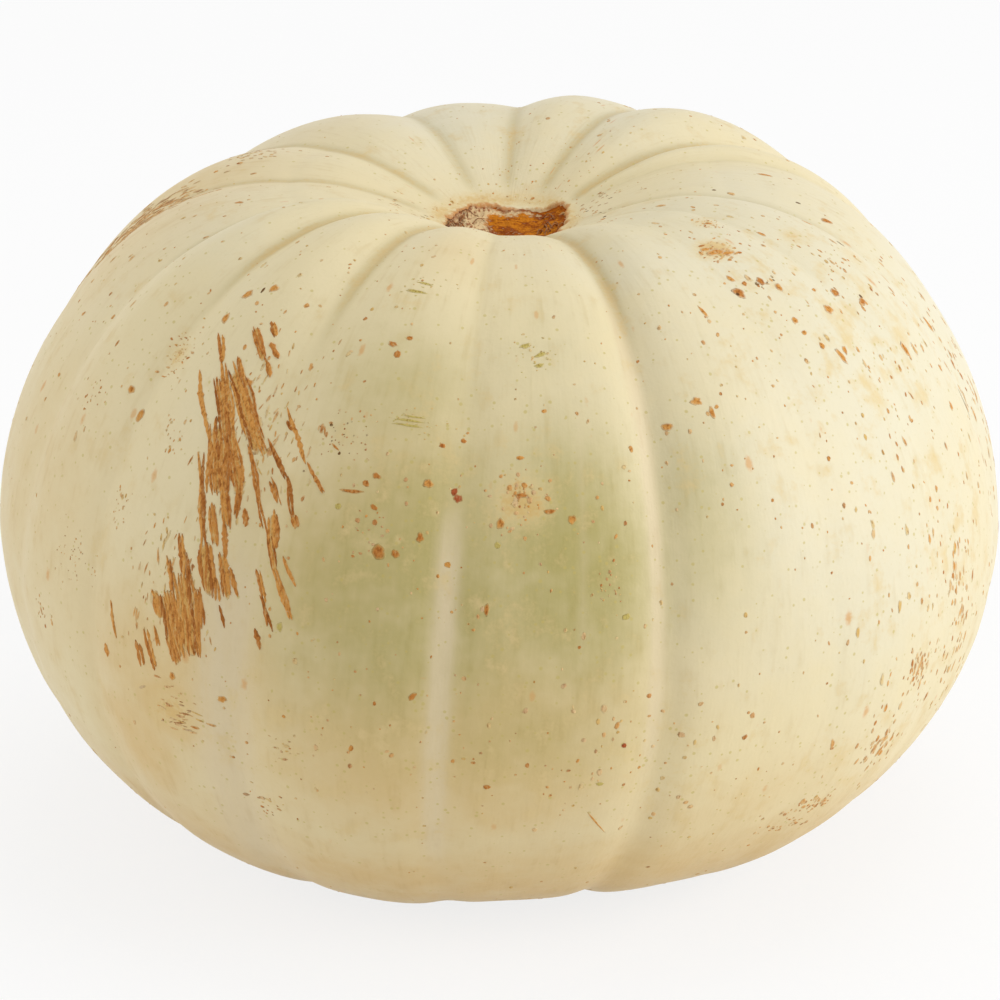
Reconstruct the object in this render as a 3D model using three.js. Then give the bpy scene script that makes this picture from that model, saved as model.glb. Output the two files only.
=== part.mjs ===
// A whole white ribbed pumpkin, its stem torn away at the scar.
//
// Units are millimetres, +Z is up and the fruit rests on z = 0. The front is -Y. Azimuths are in degrees
// from the front, positive towards +X. The origin is the middle of the footprint, on the ground.

import * as THREE from "three";
import { mergeVertices } from "three/addons/utils/BufferGeometryUtils.js";

// Driving dimensions of the meridian, before the ribs are pressed into it.
const EQUATOR_RADIUS = 150;
const EQUATOR_HEIGHT = 94;
const CROWN_HEIGHT = 202;
const CREST_RADIUS = 64; // where the shoulders are highest, around the stem hollow
const SCAR_RADIUS = 18.3; // the torn stem scar at the bottom of the stem hollow
const SCAR_HEIGHT = 185;
const SCAR_BOWL = 2; // how far the middle of the scar lies below its edge
const REST_RADIUS = 58; // outer edge of the ring that it rests on
const HOLLOW_RADIUS = 50; // inner edge of that ring, where the blossom end turns up
const BLOSSOM_DEPTH = 7;

// Shares of a quarter's width or height at which its Bezier handles stand. 0.55 would be an ellipse.
const SHOULDER_SPREAD = 0.55;
const SHOULDER_DROP = 0.53;
const BELLY_DROP = 0.41;
const BELLY_SPREAD = 0.71;

// Ribs. A crease is the sharp fold between two ribs on the crown, a valley the soft trough on the flank.
const CREASE_DEPTH = 5;
const CREASE_ROUNDNESS = 1.2; // the lower, the fuller the ribs and the sharper the folds between them
const VALLEY_DEPTH = 2.2;
const VALLEY_SHARPNESS = 12; // the higher, the narrower the trough
const TWIST = 6; // how far the ribs wind from the base to the crown
const LEAN = 0.02; // sideways shift towards +X for each millimetre of height
const TILT = 1.2; // the +X shoulder sits lower than the -X one by this angle
const SETTLE = 0.5; // how much the lobes flatten where they touch the ground

// Each rib starts at its groove and runs to the next one. crease and valley scale that groove's depth,
// shoulder and belly are how many millimetres the rib swells at its middle, high up and low down.
const RIBS = [
  { groove: -160, crease: 0.5, valley: 0.7, shoulder: -4, belly: 0 },
  { groove: -127, crease: 0.6, valley: 0.7, shoulder: -6, belly: 0 },
  { groove: -99, crease: 0.5, valley: 0.3, shoulder: -6, belly: -1 },
  { groove: -70, crease: 0.6, valley: 0.4, shoulder: 0, belly: -2 },
  { groove: -51, crease: 0.7, valley: 0.5, shoulder: 1, belly: -1 },
  { groove: -29, crease: 0.7, valley: 0.5, shoulder: 0, belly: -1 },
  { groove: -6, crease: 0.3, valley: 0.5, shoulder: -3, belly: -4 },
  { groove: 18, crease: 0.8, valley: 0.9, shoulder: -1, belly: -3 },
  { groove: 39, crease: 0.1, valley: 0.15, shoulder: -2, belly: 0 },
  { groove: 59, crease: 0.2, valley: 0.2, shoulder: -3, belly: -1 },
  { groove: 80, crease: 0.4, valley: 0.4, shoulder: -4, belly: 0 },
  { groove: 109, crease: 0.3, valley: 0.2, shoulder: -2, belly: 0 },
  { groove: 120, crease: 0.9, valley: 0.7, shoulder: 2, belly: 0 },
  { groove: 149, crease: 0.6, valley: 0.7, shoulder: 0, belly: 0 },
  { groove: 175, crease: 0.5, valley: 0.7, shoulder: -4, belly: 0 },
];

// How the relief changes along the meridian, which runs from the scar's edge at 0 over the crest and the
// equator to the resting ring at 1, and on to the blossom end at 2. Each stop is [place, strength].
const CREST_AT = 0.25;
const EQUATOR_AT = 0.6;
const CREASE_ALONG = [
  [0, 0], [0.05, 0.15], [0.12, 0.5], [0.2, 0.85], [0.3, 1], [0.45, 0.55], [EQUATOR_AT, 0.1],
  [1, 0.05], [2, 0],
];
const VALLEY_ALONG = [
  [0, 0], [CREST_AT, 0.2], [0.45, 0.9], [EQUATOR_AT, 1], [0.85, 0.9], [1, 0.6], [1.6, 0.4], [2, 0],
];
const SHOULDER_ALONG = [[0, 0], [0.1, 0.4], [CREST_AT, 1], [0.45, 0.6], [EQUATOR_AT, 0]];
const BELLY_ALONG = [[0.4, 0], [EQUATOR_AT, 0.5], [0.8, 1], [0.95, 0.6], [1, 0]];

// Facets.
const COLUMNS_PER_RIB = 8;
const SCAR_ROWS = 2;
const CROWN_ROWS = 6;
const SHOULDER_ROWS = 10;
const BELLY_ROWS = 9;
const REST_ROWS = 1;
const BLOSSOM_ROWS = 4;

/** The strength at one place along the meridian, straight between the stops around it. */
function strengthAt(stops, place) {
  const next = stops.findIndex(([at]) => at > place);
  if (next === 0) return stops[0][1];
  if (next === -1) return stops[stops.length - 1][1];
  const [fromAt, from] = stops[next - 1];
  const [toAt, to] = stops[next];
  return THREE.MathUtils.mapLinear(place, fromAt, toAt, from, to);
}

/** The meridian's curves from the scar's middle to the blossom end, each with its rows and its places. */
function meridianCurves() {
  const point = (radius, height) => new THREE.Vector2(radius, height);
  const scar = point(SCAR_RADIUS, SCAR_HEIGHT);
  const crest = point(CREST_RADIUS, CROWN_HEIGHT);
  const equator = point(EQUATOR_RADIUS, EQUATOR_HEIGHT);
  const rest = point(REST_RADIUS, 0);
  const hollow = point(HOLLOW_RADIUS, 0);
  const crownWidth = CREST_RADIUS - SCAR_RADIUS;
  const hollowDepth = CROWN_HEIGHT - SCAR_HEIGHT;
  return [
    {
      curve: new THREE.QuadraticBezierCurve(
        point(0, SCAR_HEIGHT - SCAR_BOWL),
        point(SCAR_RADIUS / 2, SCAR_HEIGHT - SCAR_BOWL),
        scar,
      ),
      rows: SCAR_ROWS,
      from: -1,
      to: 0,
    },
    {
      curve: new THREE.CubicBezierCurve(
        scar,
        point(SCAR_RADIUS + crownWidth / 3, SCAR_HEIGHT + hollowDepth * 0.52),
        point(CREST_RADIUS - crownWidth / 3, CROWN_HEIGHT),
        crest,
      ),
      rows: CROWN_ROWS,
      from: 0,
      to: CREST_AT,
    },
    {
      curve: new THREE.CubicBezierCurve(
        crest,
        point(CREST_RADIUS + (EQUATOR_RADIUS - CREST_RADIUS) * SHOULDER_SPREAD, CROWN_HEIGHT),
        point(EQUATOR_RADIUS, EQUATOR_HEIGHT + (CROWN_HEIGHT - EQUATOR_HEIGHT) * SHOULDER_DROP),
        equator,
      ),
      rows: SHOULDER_ROWS,
      from: CREST_AT,
      to: EQUATOR_AT,
    },
    {
      curve: new THREE.CubicBezierCurve(
        equator,
        point(EQUATOR_RADIUS, EQUATOR_HEIGHT * (1 - BELLY_DROP)),
        point(REST_RADIUS + (EQUATOR_RADIUS - REST_RADIUS) * BELLY_SPREAD, 0),
        rest,
      ),
      rows: BELLY_ROWS,
      from: EQUATOR_AT,
      to: 1,
    },
    { curve: new THREE.LineCurve(rest, hollow), rows: REST_ROWS, from: 1, to: 1.15 },
    {
      curve: new THREE.CubicBezierCurve(
        hollow,
        point(HOLLOW_RADIUS * 0.75, 0),
        point(HOLLOW_RADIUS * 0.3, BLOSSOM_DEPTH),
        point(0, BLOSSOM_DEPTH),
      ),
      rows: BLOSSOM_ROWS,
      from: 1.15,
      to: 2,
    },
  ];
}

/** Stations down the meridian: the point, the normal that faces out and the place along it. */
function meridianStations() {
  const stations = [];
  for (const { curve, rows, from, to } of meridianCurves()) {
    for (let row = stations.length === 0 ? 0 : 1; row <= rows; row++) {
      const share = row / rows;
      const tangent = curve.getTangent(share);
      stations.push({
        point: curve.getPoint(share),
        normal: new THREE.Vector2(-tangent.y, tangent.x),
        place: THREE.MathUtils.lerp(from, to, share),
      });
    }
  }
  return stations;
}

/** One column of the skin: its azimuth, and the relief of the two grooves and ribs that it lies between. */
function ribColumn(column) {
  const index = Math.floor(column / COLUMNS_PER_RIB) % RIBS.length;
  const across = (column % COLUMNS_PER_RIB) / COLUMNS_PER_RIB; // 0 at its own groove, 1 at the next
  const rib = RIBS[index];
  const next = RIBS[(index + 1) % RIBS.length];
  const previous = RIBS[(index + RIBS.length - 1) % RIBS.length];
  const width = THREE.MathUtils.euclideanModulo(next.groove - rib.groove, 360);
  const ease = (share) => (1 - Math.cos(Math.PI * share)) / 2;
  const atGroove = (name) => THREE.MathUtils.lerp(rib[name], next[name], ease(across));
  const atMiddle = (name) =>
    across < 0.5
      ? THREE.MathUtils.lerp(previous[name], rib[name], ease(across + 0.5))
      : THREE.MathUtils.lerp(rib[name], next[name], ease(across - 0.5));
  return {
    azimuth: rib.groove + width * across,
    crease: CREASE_DEPTH * atGroove("crease") * (1 - Math.sin(Math.PI * across) ** CREASE_ROUNDNESS),
    valley: VALLEY_DEPTH * atGroove("valley") * Math.cos(Math.PI * across) ** VALLEY_SHARPNESS,
    shoulder: atMiddle("shoulder"),
    belly: atMiddle("belly"),
  };
}

/** Where the skin lies at one station of one column, ribs, twist, tilt, lean and flattened base included. */
function skinPoint(station, column) {
  const { point, normal, place } = station;
  const swell =
    column.shoulder * strengthAt(SHOULDER_ALONG, place) +
    column.belly * strengthAt(BELLY_ALONG, place) -
    column.crease * strengthAt(CREASE_ALONG, place) -
    column.valley * strengthAt(VALLEY_ALONG, place);
  const radius = point.x + swell * normal.x;
  const height = Math.max(point.y + swell * normal.y - SETTLE, 0);
  const azimuth = THREE.MathUtils.degToRad(column.azimuth + TWIST * (EQUATOR_AT - place));
  const across = radius * Math.sin(azimuth);
  const tilted = THREE.MathUtils.smoothstep(height, 0, EQUATOR_HEIGHT);
  return new THREE.Vector3(
    across + LEAN * (height - EQUATOR_HEIGHT),
    -radius * Math.cos(azimuth),
    height - across * Math.tan(THREE.MathUtils.degToRad(TILT)) * tilted,
  );
}

/** The closed skin: a lathe of the meridian whose vertices are moved on to the ribbed surface. */
function pumpkinGeometry() {
  const stations = meridianStations().reverse();
  const columns = RIBS.length * COLUMNS_PER_RIB;
  const lathe = new THREE.LatheGeometry(stations.map((station) => station.point), columns);
  const position = lathe.getAttribute("position");
  for (let vertex = 0; vertex < position.count; vertex++) {
    const station = stations[vertex % stations.length];
    const column = ribColumn(Math.floor(vertex / stations.length));
    const { x, y, z } = skinPoint(station, column);
    position.setXYZ(vertex, x, y, z);
  }
  lathe.deleteAttribute("normal");
  lathe.deleteAttribute("uv");
  const skin = mergeVertices(lathe, 1e-3);
  skin.computeBoundingBox();
  const middle = skin.boundingBox.getCenter(new THREE.Vector3());
  skin.translate(-middle.x, -middle.y, 0);
  skin.computeVertexNormals();
  return skin;
}

const pumpkin = new THREE.Mesh(
  pumpkinGeometry(),
  new THREE.MeshStandardMaterial({ color: 0xdccda3, roughness: 0.45, metalness: 0 }),
);
pumpkin.name = "pumpkin";

const fruit = new THREE.Group();
fruit.add(pumpkin);

export default fruit;
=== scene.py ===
"""Looks of a whole white ribbed pumpkin, its stem torn away at the crown.

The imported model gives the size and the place. This script replaces its plain solid with a fine skin that
has the same ribs, lays cork on the two scars, and dresses everything with procedural finishes.
Lengths are in metres and azimuths in degrees from the front (-Y), positive towards +X. A place on the skin
is its azimuth and its drop: the distance down the fruit from the edge of the stem scar.
"""
import logging
import math
import random
from dataclasses import dataclass
from enum import Enum
from functools import reduce
from typing import Mapping, Optional, Sequence, Union

import bmesh
import bpy
import numpy as np
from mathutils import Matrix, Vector, noise


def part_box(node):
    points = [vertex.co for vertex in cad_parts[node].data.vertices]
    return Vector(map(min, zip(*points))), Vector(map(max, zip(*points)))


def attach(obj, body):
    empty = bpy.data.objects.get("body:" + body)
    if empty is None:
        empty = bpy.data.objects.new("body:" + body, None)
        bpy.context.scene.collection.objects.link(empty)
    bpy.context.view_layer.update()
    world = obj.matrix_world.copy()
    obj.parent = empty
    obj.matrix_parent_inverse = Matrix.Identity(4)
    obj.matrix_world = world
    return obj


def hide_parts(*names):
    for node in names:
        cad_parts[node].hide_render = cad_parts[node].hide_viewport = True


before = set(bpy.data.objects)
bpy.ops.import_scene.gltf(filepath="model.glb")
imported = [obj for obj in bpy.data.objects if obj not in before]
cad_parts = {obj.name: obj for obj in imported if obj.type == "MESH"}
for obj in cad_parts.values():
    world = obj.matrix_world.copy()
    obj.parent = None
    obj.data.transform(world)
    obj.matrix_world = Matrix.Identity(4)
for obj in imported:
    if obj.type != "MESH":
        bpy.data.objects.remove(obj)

LOG = logging.getLogger("pumpkin")
MM = 0.001
Array = np.ndarray
Piece = bpy.types.Object
Colour = tuple[float, float, float]
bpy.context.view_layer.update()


def of_kind(kind: type, *rows: tuple) -> tuple:
    """Things of one kind, from rows of their fields."""
    return tuple(kind(*row) for row in rows)


# ---- Form ----


@dataclass(frozen=True)
class Rib:
    """One rib: the azimuth of the groove that it starts at, that groove's depths, and the rib's swellings in mm."""

    groove: float
    crease: float
    valley: float
    shoulder: float
    belly: float


# Each row is a rib, with its fields in order.
RIBS = of_kind(
    Rib,
    (-160, 0.5, 0.7, -4, 0), (-127, 0.6, 0.7, -6, 0), (-99, 0.5, 0.3, -6, -1), (-70, 0.6, 0.4, 0, -2),
    (-51, 0.7, 0.5, 1, -1), (-29, 0.7, 0.5, 0, -1), (-6, 0.3, 0.5, -3, -4), (18, 0.8, 0.9, -1, -3),
    (39, 0.1, 0.15, -2, 0), (59, 0.2, 0.2, -3, -1), (80, 0.4, 0.4, -4, 0), (109, 0.3, 0.2, -2, 0),
    (120, 0.9, 0.7, 2, 0), (149, 0.6, 0.7, 0, 0), (175, 0.5, 0.7, -4, 0),
)


@dataclass(frozen=True)
class Stretch:
    """A stretch of the meridian: a cubic Bezier curve, the places that it runs between, and its rows of faces.

    A crowding over 1 brings the rows closer together at the start of the stretch, and one under 1 at its end.
    """

    handles: tuple
    start: float
    end: float
    rows: int
    crowding: float = 1.0

    def places(self) -> Array:
        """The places of the rows, without the last one, which starts the next stretch."""
        return self.start + (self.end - self.start) * (np.arange(self.rows) / self.rows) ** self.crowding

    def at(self, share: Array) -> tuple[Array, Array]:
        """Points and tangents of the curve.

        Args:
            share: how far along the curve, from 0 to 1.

        Returns:
            The points and the tangents, each an array of (radius, height).
        """
        a, b, c, d = (np.array(handle, float) for handle in self.handles)
        t = np.asarray(share, float)[:, None]
        u = 1 - t
        points = u**3 * a + 3 * u * u * t * b + 3 * u * t * t * c + t**3 * d
        tangents = u * u * (b - a) + 2 * u * t * (c - b) + t * t * (d - c)
        return points, tangents


@dataclass(frozen=True)
class Meridian:
    """The unribbed outline of the fruit, from the middle of the stem scar at place -1 to the blossom end at 2."""

    equator_radius: float = 150 * MM
    equator_height: float = 94 * MM
    crown_height: float = 202 * MM
    crest_radius: float = 64 * MM
    scar_radius: float = 18.3 * MM
    scar_height: float = 185 * MM
    scar_bowl: float = 2 * MM
    rest_radius: float = 58 * MM
    hollow_radius: float = 50 * MM
    blossom_depth: float = 7 * MM
    shoulder_spread: float = 0.55
    shoulder_drop: float = 0.53
    belly_drop: float = 0.41
    belly_spread: float = 0.71
    crest_at: float = 0.25
    equator_at: float = 0.6
    rest_at: float = 1.0
    hollow_at: float = 1.15

    def stretches(self) -> tuple[Stretch, ...]:
        """The curves that make the meridian.

        Returns:
            The curves, from the scar's middle down to the blossom end.
        """
        scar = (self.scar_radius, self.scar_height)
        crest = (self.crest_radius, self.crown_height)
        equator = (self.equator_radius, self.equator_height)
        rest = (self.rest_radius, 0.0)
        hollow = (self.hollow_radius, 0.0)
        bowl = self.scar_height - self.scar_bowl
        crown = self.crest_radius - self.scar_radius
        sunk = self.crown_height - self.scar_height
        width = self.equator_radius - self.crest_radius
        rise = self.crown_height - self.equator_height
        under = self.equator_radius - self.rest_radius
        return (
            Stretch(((0, bowl), (self.scar_radius / 3, bowl), (self.scar_radius * 2 / 3, bowl + self.scar_bowl / 3),
                     scar), -1, 0, 30, 0.7),
            Stretch((scar, (self.scar_radius + crown / 3, self.scar_height + sunk * 0.52),
                     (self.crest_radius - crown / 3, self.crown_height), crest), 0, self.crest_at, 56, 1.4),
            Stretch((crest, (self.crest_radius + width * self.shoulder_spread, self.crown_height),
                     (self.equator_radius, self.equator_height + rise * self.shoulder_drop), equator),
                    self.crest_at, self.equator_at, 84),
            Stretch((equator, (self.equator_radius, self.equator_height * (1 - self.belly_drop)),
                     (self.rest_radius + under * self.belly_spread, 0), rest), self.equator_at, self.rest_at, 76),
            Stretch((rest, rest, hollow, hollow), self.rest_at, self.hollow_at, 6),
            Stretch((hollow, (self.hollow_radius * 0.75, 0), (self.hollow_radius * 0.3, self.blossom_depth),
                     (0, self.blossom_depth)), self.hollow_at, 2, 22),
        )

    def places(self) -> Array:
        """The places of the skin's rows, from the scar's middle to the blossom end."""
        return np.concatenate([*(stretch.places() for stretch in self.stretches()), [2.0]])

    def table(self) -> Array:
        """A fine table of the meridian.

        Returns:
            Its rows, whose columns are place, radius, height, normal out, normal up and drop.
        """
        parts = []
        for stretch in self.stretches():
            share = np.linspace(0.002, 0.998, 200)
            points, tangents = stretch.at(share)
            length = np.hypot(tangents[:, 0], tangents[:, 1])[:, None]
            normals = np.stack([-tangents[:, 1], tangents[:, 0]], 1) / length
            places = stretch.start + (stretch.end - stretch.start) * share
            parts.append(np.column_stack([places, points, normals]))
        rows = np.concatenate(parts)
        first = np.array([-1, 0, self.scar_height - self.scar_bowl, 0, 1])
        last = np.array([2, 0, self.blossom_depth, 0, -1])
        rows = np.vstack([first, rows, last])
        steps = np.hypot(np.diff(rows[:, 1]), np.diff(rows[:, 2]))
        drop = np.concatenate([[0], np.cumsum(steps)])
        drop -= np.interp(0, rows[:, 0], drop)
        return np.column_stack([rows, drop])


def along(places: Array, stops: Sequence[tuple[float, float]]) -> Array:
    """How strong something is at places along the meridian, straight between its stops."""
    return np.interp(places, [at for at, _ in stops], [strength for _, strength in stops])


def eased(start: Array, end: Array, share: Array) -> Array:
    """From start to end along a cosine as share goes from 0 to 1."""
    return start + (end - start) * (1 - np.cos(np.pi * share)) / 2


@dataclass(frozen=True)
class RibbedForm:
    """The fruit's surface: the meridian turned round, with ribs, twist, tilt, lean and a flattened base."""

    meridian: Meridian = Meridian()
    ribs: tuple[Rib, ...] = RIBS
    crease_depth: float = 5 * MM
    crease_roundness: float = 1.2
    valley_depth: float = 2.2 * MM
    valley_sharpness: int = 12
    twist: float = 6.0
    lean: float = 0.02
    tilt: float = 1.2
    settle: float = 0.5 * MM

    def columns(self, per_rib: int) -> Array:
        """Azimuths of the skin's columns, closer together near the grooves.

        Args:
            per_rib: the number of columns in one rib.

        Returns:
            The azimuths, growing, without the last one that closes the round.
        """
        share = np.arange(per_rib) / per_rib
        share = 0.5 * share + 0.5 * eased(np.zeros(1), np.ones(1), share)
        grooves = [rib.groove for rib in self.ribs]
        ends = [*grooves[1:], grooves[0] + 360]
        return np.concatenate([start + (end - start) * share for start, end in zip(grooves, ends)])

    def across(self, azimuths: Array) -> tuple[Array, Array, Array]:
        """Which rib each azimuth is on.

        Args:
            azimuths: azimuths in degrees.

        Returns:
            The rib's number, how far across it from 0 to 1, and its width in degrees.
        """
        grooves = np.array([rib.groove for rib in self.ribs], float)
        ends = np.append(grooves[1:], grooves[0] + 360)
        turned = grooves[0] + (np.asarray(azimuths, float) - grooves[0]) % 360
        number = np.clip(np.searchsorted(grooves, turned, side="right") - 1, 0, len(grooves) - 1)
        width = ends[number] - grooves[number]
        return number, (turned - grooves[number]) / width, width

    def of_groove(self, azimuths: Array, name: str) -> Array:
        """A rib's property that belongs to its groove, eased from groove to groove."""
        values = np.array([getattr(rib, name) for rib in self.ribs], float)
        number, share, _ = self.across(azimuths)
        return eased(values[number], values[(number + 1) % len(values)], share)

    def of_middle(self, azimuths: Array, name: str) -> Array:
        """A rib's property that belongs to its middle, eased from middle to middle.

        Args:
            azimuths: azimuths in degrees.
            name: the property's name.

        Returns:
            Its value at each azimuth.
        """
        values = np.array([getattr(rib, name) for rib in self.ribs], float)
        number, share, _ = self.across(azimuths)
        before, after = values[number - 1], values[(number + 1) % len(values)]
        rising = eased(before, values[number], np.minimum(share + 0.5, 1))
        falling = eased(values[number], after, np.maximum(share - 0.5, 0))
        return np.where(share < 0.5, rising, falling)

    def points(self, azimuths: Array, places: Array, lift: Union[float, Array] = 0.0) -> Array:
        """Points of the ribbed surface, or at a height above it.

        Args:
            azimuths: azimuths on the ribs, before the twist.
            places: places along the meridian, broadcast against the azimuths.
            lift: how far out from the surface.

        Returns:
            An array of points.
        """
        azimuths, places = np.broadcast_arrays(np.asarray(azimuths, float), np.asarray(places, float))
        m = self.meridian
        table = m.table()
        radius, height, out, up = (np.interp(places, table[:, 0], table[:, column]) for column in range(1, 5))
        crest, equator = m.crest_at, m.equator_at
        _, share, _ = self.across(azimuths)
        crease = self.crease_depth * self.of_groove(azimuths, "crease")
        crease *= 1 - np.sin(np.pi * share) ** self.crease_roundness
        valley = self.valley_depth * self.of_groove(azimuths, "valley")
        valley = valley * np.cos(np.pi * share) ** self.valley_sharpness
        swell = (
            MM * self.of_middle(azimuths, "shoulder")
            * along(places, [(0, 0), (0.1, 0.4), (crest, 1), (0.45, 0.6), (equator, 0)])
            + MM * self.of_middle(azimuths, "belly")
            * along(places, [(0.4, 0), (equator, 0.5), (0.8, 1), (0.95, 0.6), (1, 0)])
            - crease * along(places, [(0, 0), (0.05, 0.15), (0.12, 0.5), (0.2, 0.85), (0.3, 1), (0.45, 0.55),
                                      (equator, 0.1), (1, 0.05), (2, 0)])
            - valley * along(places, [(0, 0), (crest, 0.2), (0.45, 0.9), (equator, 1), (0.85, 0.9), (1, 0.6),
                                      (1.6, 0.4), (2, 0)])
            + lift
        )
        radius = radius + swell * out
        height = np.maximum(height + swell * up - self.settle, 0)
        turned = np.radians(azimuths + self.twist * (equator - places))
        sideways = radius * np.sin(turned)
        share_up = np.clip(height / m.equator_height, 0, 1)
        tilted = share_up * share_up * (3 - 2 * share_up)
        return np.stack(
            [
                sideways + self.lean * (height - m.equator_height),
                -radius * np.cos(turned),
                height - sideways * math.tan(math.radians(self.tilt)) * tilted,
            ],
            -1,
        )

    def place_of_drop(self, drops: Array) -> Array:
        """The places along the meridian that lie at these drops."""
        table = self.meridian.table()
        return np.interp(drops, table[:, 5], table[:, 0])

    def drop_of_place(self, places: Array) -> Array:
        """The drops of these places along the meridian."""
        table = self.meridian.table()
        return np.interp(places, table[:, 0], table[:, 5])


FORM = RibbedForm()

# ---- Scars ----


def smooth_rise(values: Array, low: float, high: float) -> Array:
    """From 0 at low to 1 at high, with soft ends."""
    share = np.clip((values - low) / (high - low), 0, 1)
    return share * share * (3 - 2 * share)


@dataclass(frozen=True)
class ScarOutline:
    """The ragged edge of the stem scar, seen from above. Its corners are in mm from the scar's middle."""

    corners: tuple = (
        (-19.0, -3.0), (-14.0, 9.0), (-9.5, 16.0), (4.0, 14.0), (19.5, 12.5), (15.0, -12.0), (-9.0, -13.0)
    )
    rounding: float = 5.0
    raggedness: float = 0.45
    seed: int = 4
    sink: float = 2.2 * MM
    wall: float = 1.3 * MM
    lip: float = 0.35 * MM

    def reach(self, angles: Array) -> Array:
        """How far the edge is from the middle.

        Args:
            angles: directions in radians, from +X towards +Y.

        Returns:
            The distances in metres.
        """
        share = np.linspace(0, 1, 60, endpoint=False)[:, None]
        corners = np.array(self.corners)
        sides = [start + (end - start) * share for start, end in zip(corners, np.roll(corners, -1, 0))]
        x, y = np.concatenate(sides).T
        round_the_clock = np.radians(np.arange(360))
        sharp = np.interp(round_the_clock, np.arctan2(y, x), np.hypot(x, y), period=2 * math.pi)
        away = (np.arange(360) + 180) % 360 - 180
        weights = np.exp(-((away / self.rounding) ** 2) / 2)
        smooth = np.real(np.fft.ifft(np.fft.fft(sharp) * np.fft.fft(weights / weights.sum())))
        draw = random.Random(self.seed)
        for waves in (7, 11, 17, 26, 41):
            phase = draw.uniform(0, 2 * math.pi)
            smooth += self.raggedness * (7 / waves) ** 0.5 * np.sin(waves * round_the_clock + phase)
        return np.interp(angles, round_the_clock, smooth, period=2 * math.pi) * MM

    def relief(self, across: Array, back: Array) -> Array:
        """How far the rind stands out at and around the scar.

        Args:
            across: distances towards +X from the scar's middle.
            back: distances towards +Y.

        Returns:
            Heights, below zero inside the scar.
        """
        inside = self.reach(np.arctan2(back, across)) - np.hypot(across, back)
        rim = np.exp(-((inside / (1.2 * MM) + 1) ** 2))
        return self.lip * rim - self.sink * smooth_rise(inside, 0, self.wall)


SCAR = ScarOutline()

# ---- Meshes ----


def as_object(name: str, vertices: Array, faces: Sequence[Sequence[int]]) -> Piece:
    """A smooth-shaded object from plain arrays.

    Args:
        name: the object's name.
        vertices: its points.
        faces: its faces, as indices of points.

    Returns:
        The object, linked to the scene.
    """
    mesh = bpy.data.meshes.new(name)
    mesh.from_pydata(np.asarray(vertices).tolist(), [], [list(map(int, face)) for face in faces])
    mesh.update()
    mesh.polygons.foreach_set("use_smooth", [True] * len(mesh.polygons))
    made = bpy.data.objects.new(name, mesh)
    bpy.context.scene.collection.objects.link(made)
    return made


def store(made: Piece, name: str, values: Array) -> None:
    """Stores a number or a vector for each point of a mesh.

    Args:
        made: the object.
        name: the attribute's name.
        values: a number, or a row of three numbers, for each point.
    """
    kind, key = ("FLOAT", "value") if np.ndim(values) == 1 else ("FLOAT_VECTOR", "vector")
    attribute = made.data.attributes.new(name, kind, "POINT")
    attribute.data.foreach_set(key, np.asarray(values, np.float32).ravel())


def dress_in_cork(made: Piece, material: bpy.types.Material) -> None:
    """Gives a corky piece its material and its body."""
    made.data.materials.append(material)
    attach(made, "root")


def between_rings(start: int, rings: int, around: int) -> list[list[int]]:
    """Faces between rings of points that follow each other.

    Args:
        start: the first ring's first point.
        rings: how many rings there are.
        around: how many points a ring has.

    Returns:
        The faces, each as the numbers of its points.
    """
    faces = []
    for near in range(start, start + (rings - 1) * around, around):
        for side in range(around):
            after, far = (side + 1) % around, near + around
            faces.append([near + after, near + side, far + side, far + after])
    return faces


def roughened(point: Sequence[float], size: float, octaves: int = 1) -> float:
    """Grown unevenness at a point, between about -1 and 1.

    Args:
        point: where, in metres.
        size: the size of the lumps.
        octaves: how many finer layers it has.

    Returns:
        The height.
    """
    place = Vector(point) / size
    if octaves == 1:
        return noise.noise(place)
    return noise.fractal(place, 1.0, 2.0, octaves)


@dataclass(frozen=True)
class Zone:
    """A soft-edged area of the rind: its middle, half its width in degrees, half its length in mm, its strength."""

    azimuth: float
    drop: float
    width: float
    length: float
    strength: float

    def at(self, azimuths: Array, drops: Array) -> Array:
        """Its strength at places on the rind."""
        aside = ((azimuths - self.azimuth + 180) % 360 - 180) / self.width
        below = (drops - self.drop) / self.length
        return self.strength * np.exp(-(aside**2 + below**2))


@dataclass(frozen=True)
class Band:
    """A pale band down the rind: its azimuth, half its width in mm, where it starts and ends, its strength."""

    azimuth: float
    width: float
    start: float
    end: float
    strength: float
    fade: float = 15
    sharpness: float = 2.6

    def at(self, azimuths: Array, drops: Array, per_degree: Array) -> Array:
        """Its strength at places on the rind.

        Args:
            azimuths: the places' azimuths.
            drops: their drops in mm.
            per_degree: how many mm a degree is at each of them.

        Returns:
            The strengths.
        """
        aside = ((azimuths - self.azimuth + 180) % 360 - 180) * per_degree / self.width
        starting = smooth_rise(drops, self.start - self.fade, self.start + self.fade)
        ending = smooth_rise(-drops, -self.end - self.fade, -self.end + self.fade)
        return self.strength * np.exp(-(np.abs(aside) ** self.sharpness)) * (starting * ending)


def strongest(zones: Sequence[Zone], azimuths: Array, drops: Array) -> Array:
    """The strength of the strongest of some zones at places on the rind.

    Args:
        zones: the zones.
        azimuths: the places' azimuths.
        drops: their drops in mm.

    Returns:
        The strengths.
    """
    return reduce(np.maximum, (zone.at(azimuths, drops) for zone in zones))


# The strengths at which the warm and the green cast are full.
FULL_WARM = 1.1
FULL_GREEN = 1.15
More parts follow.
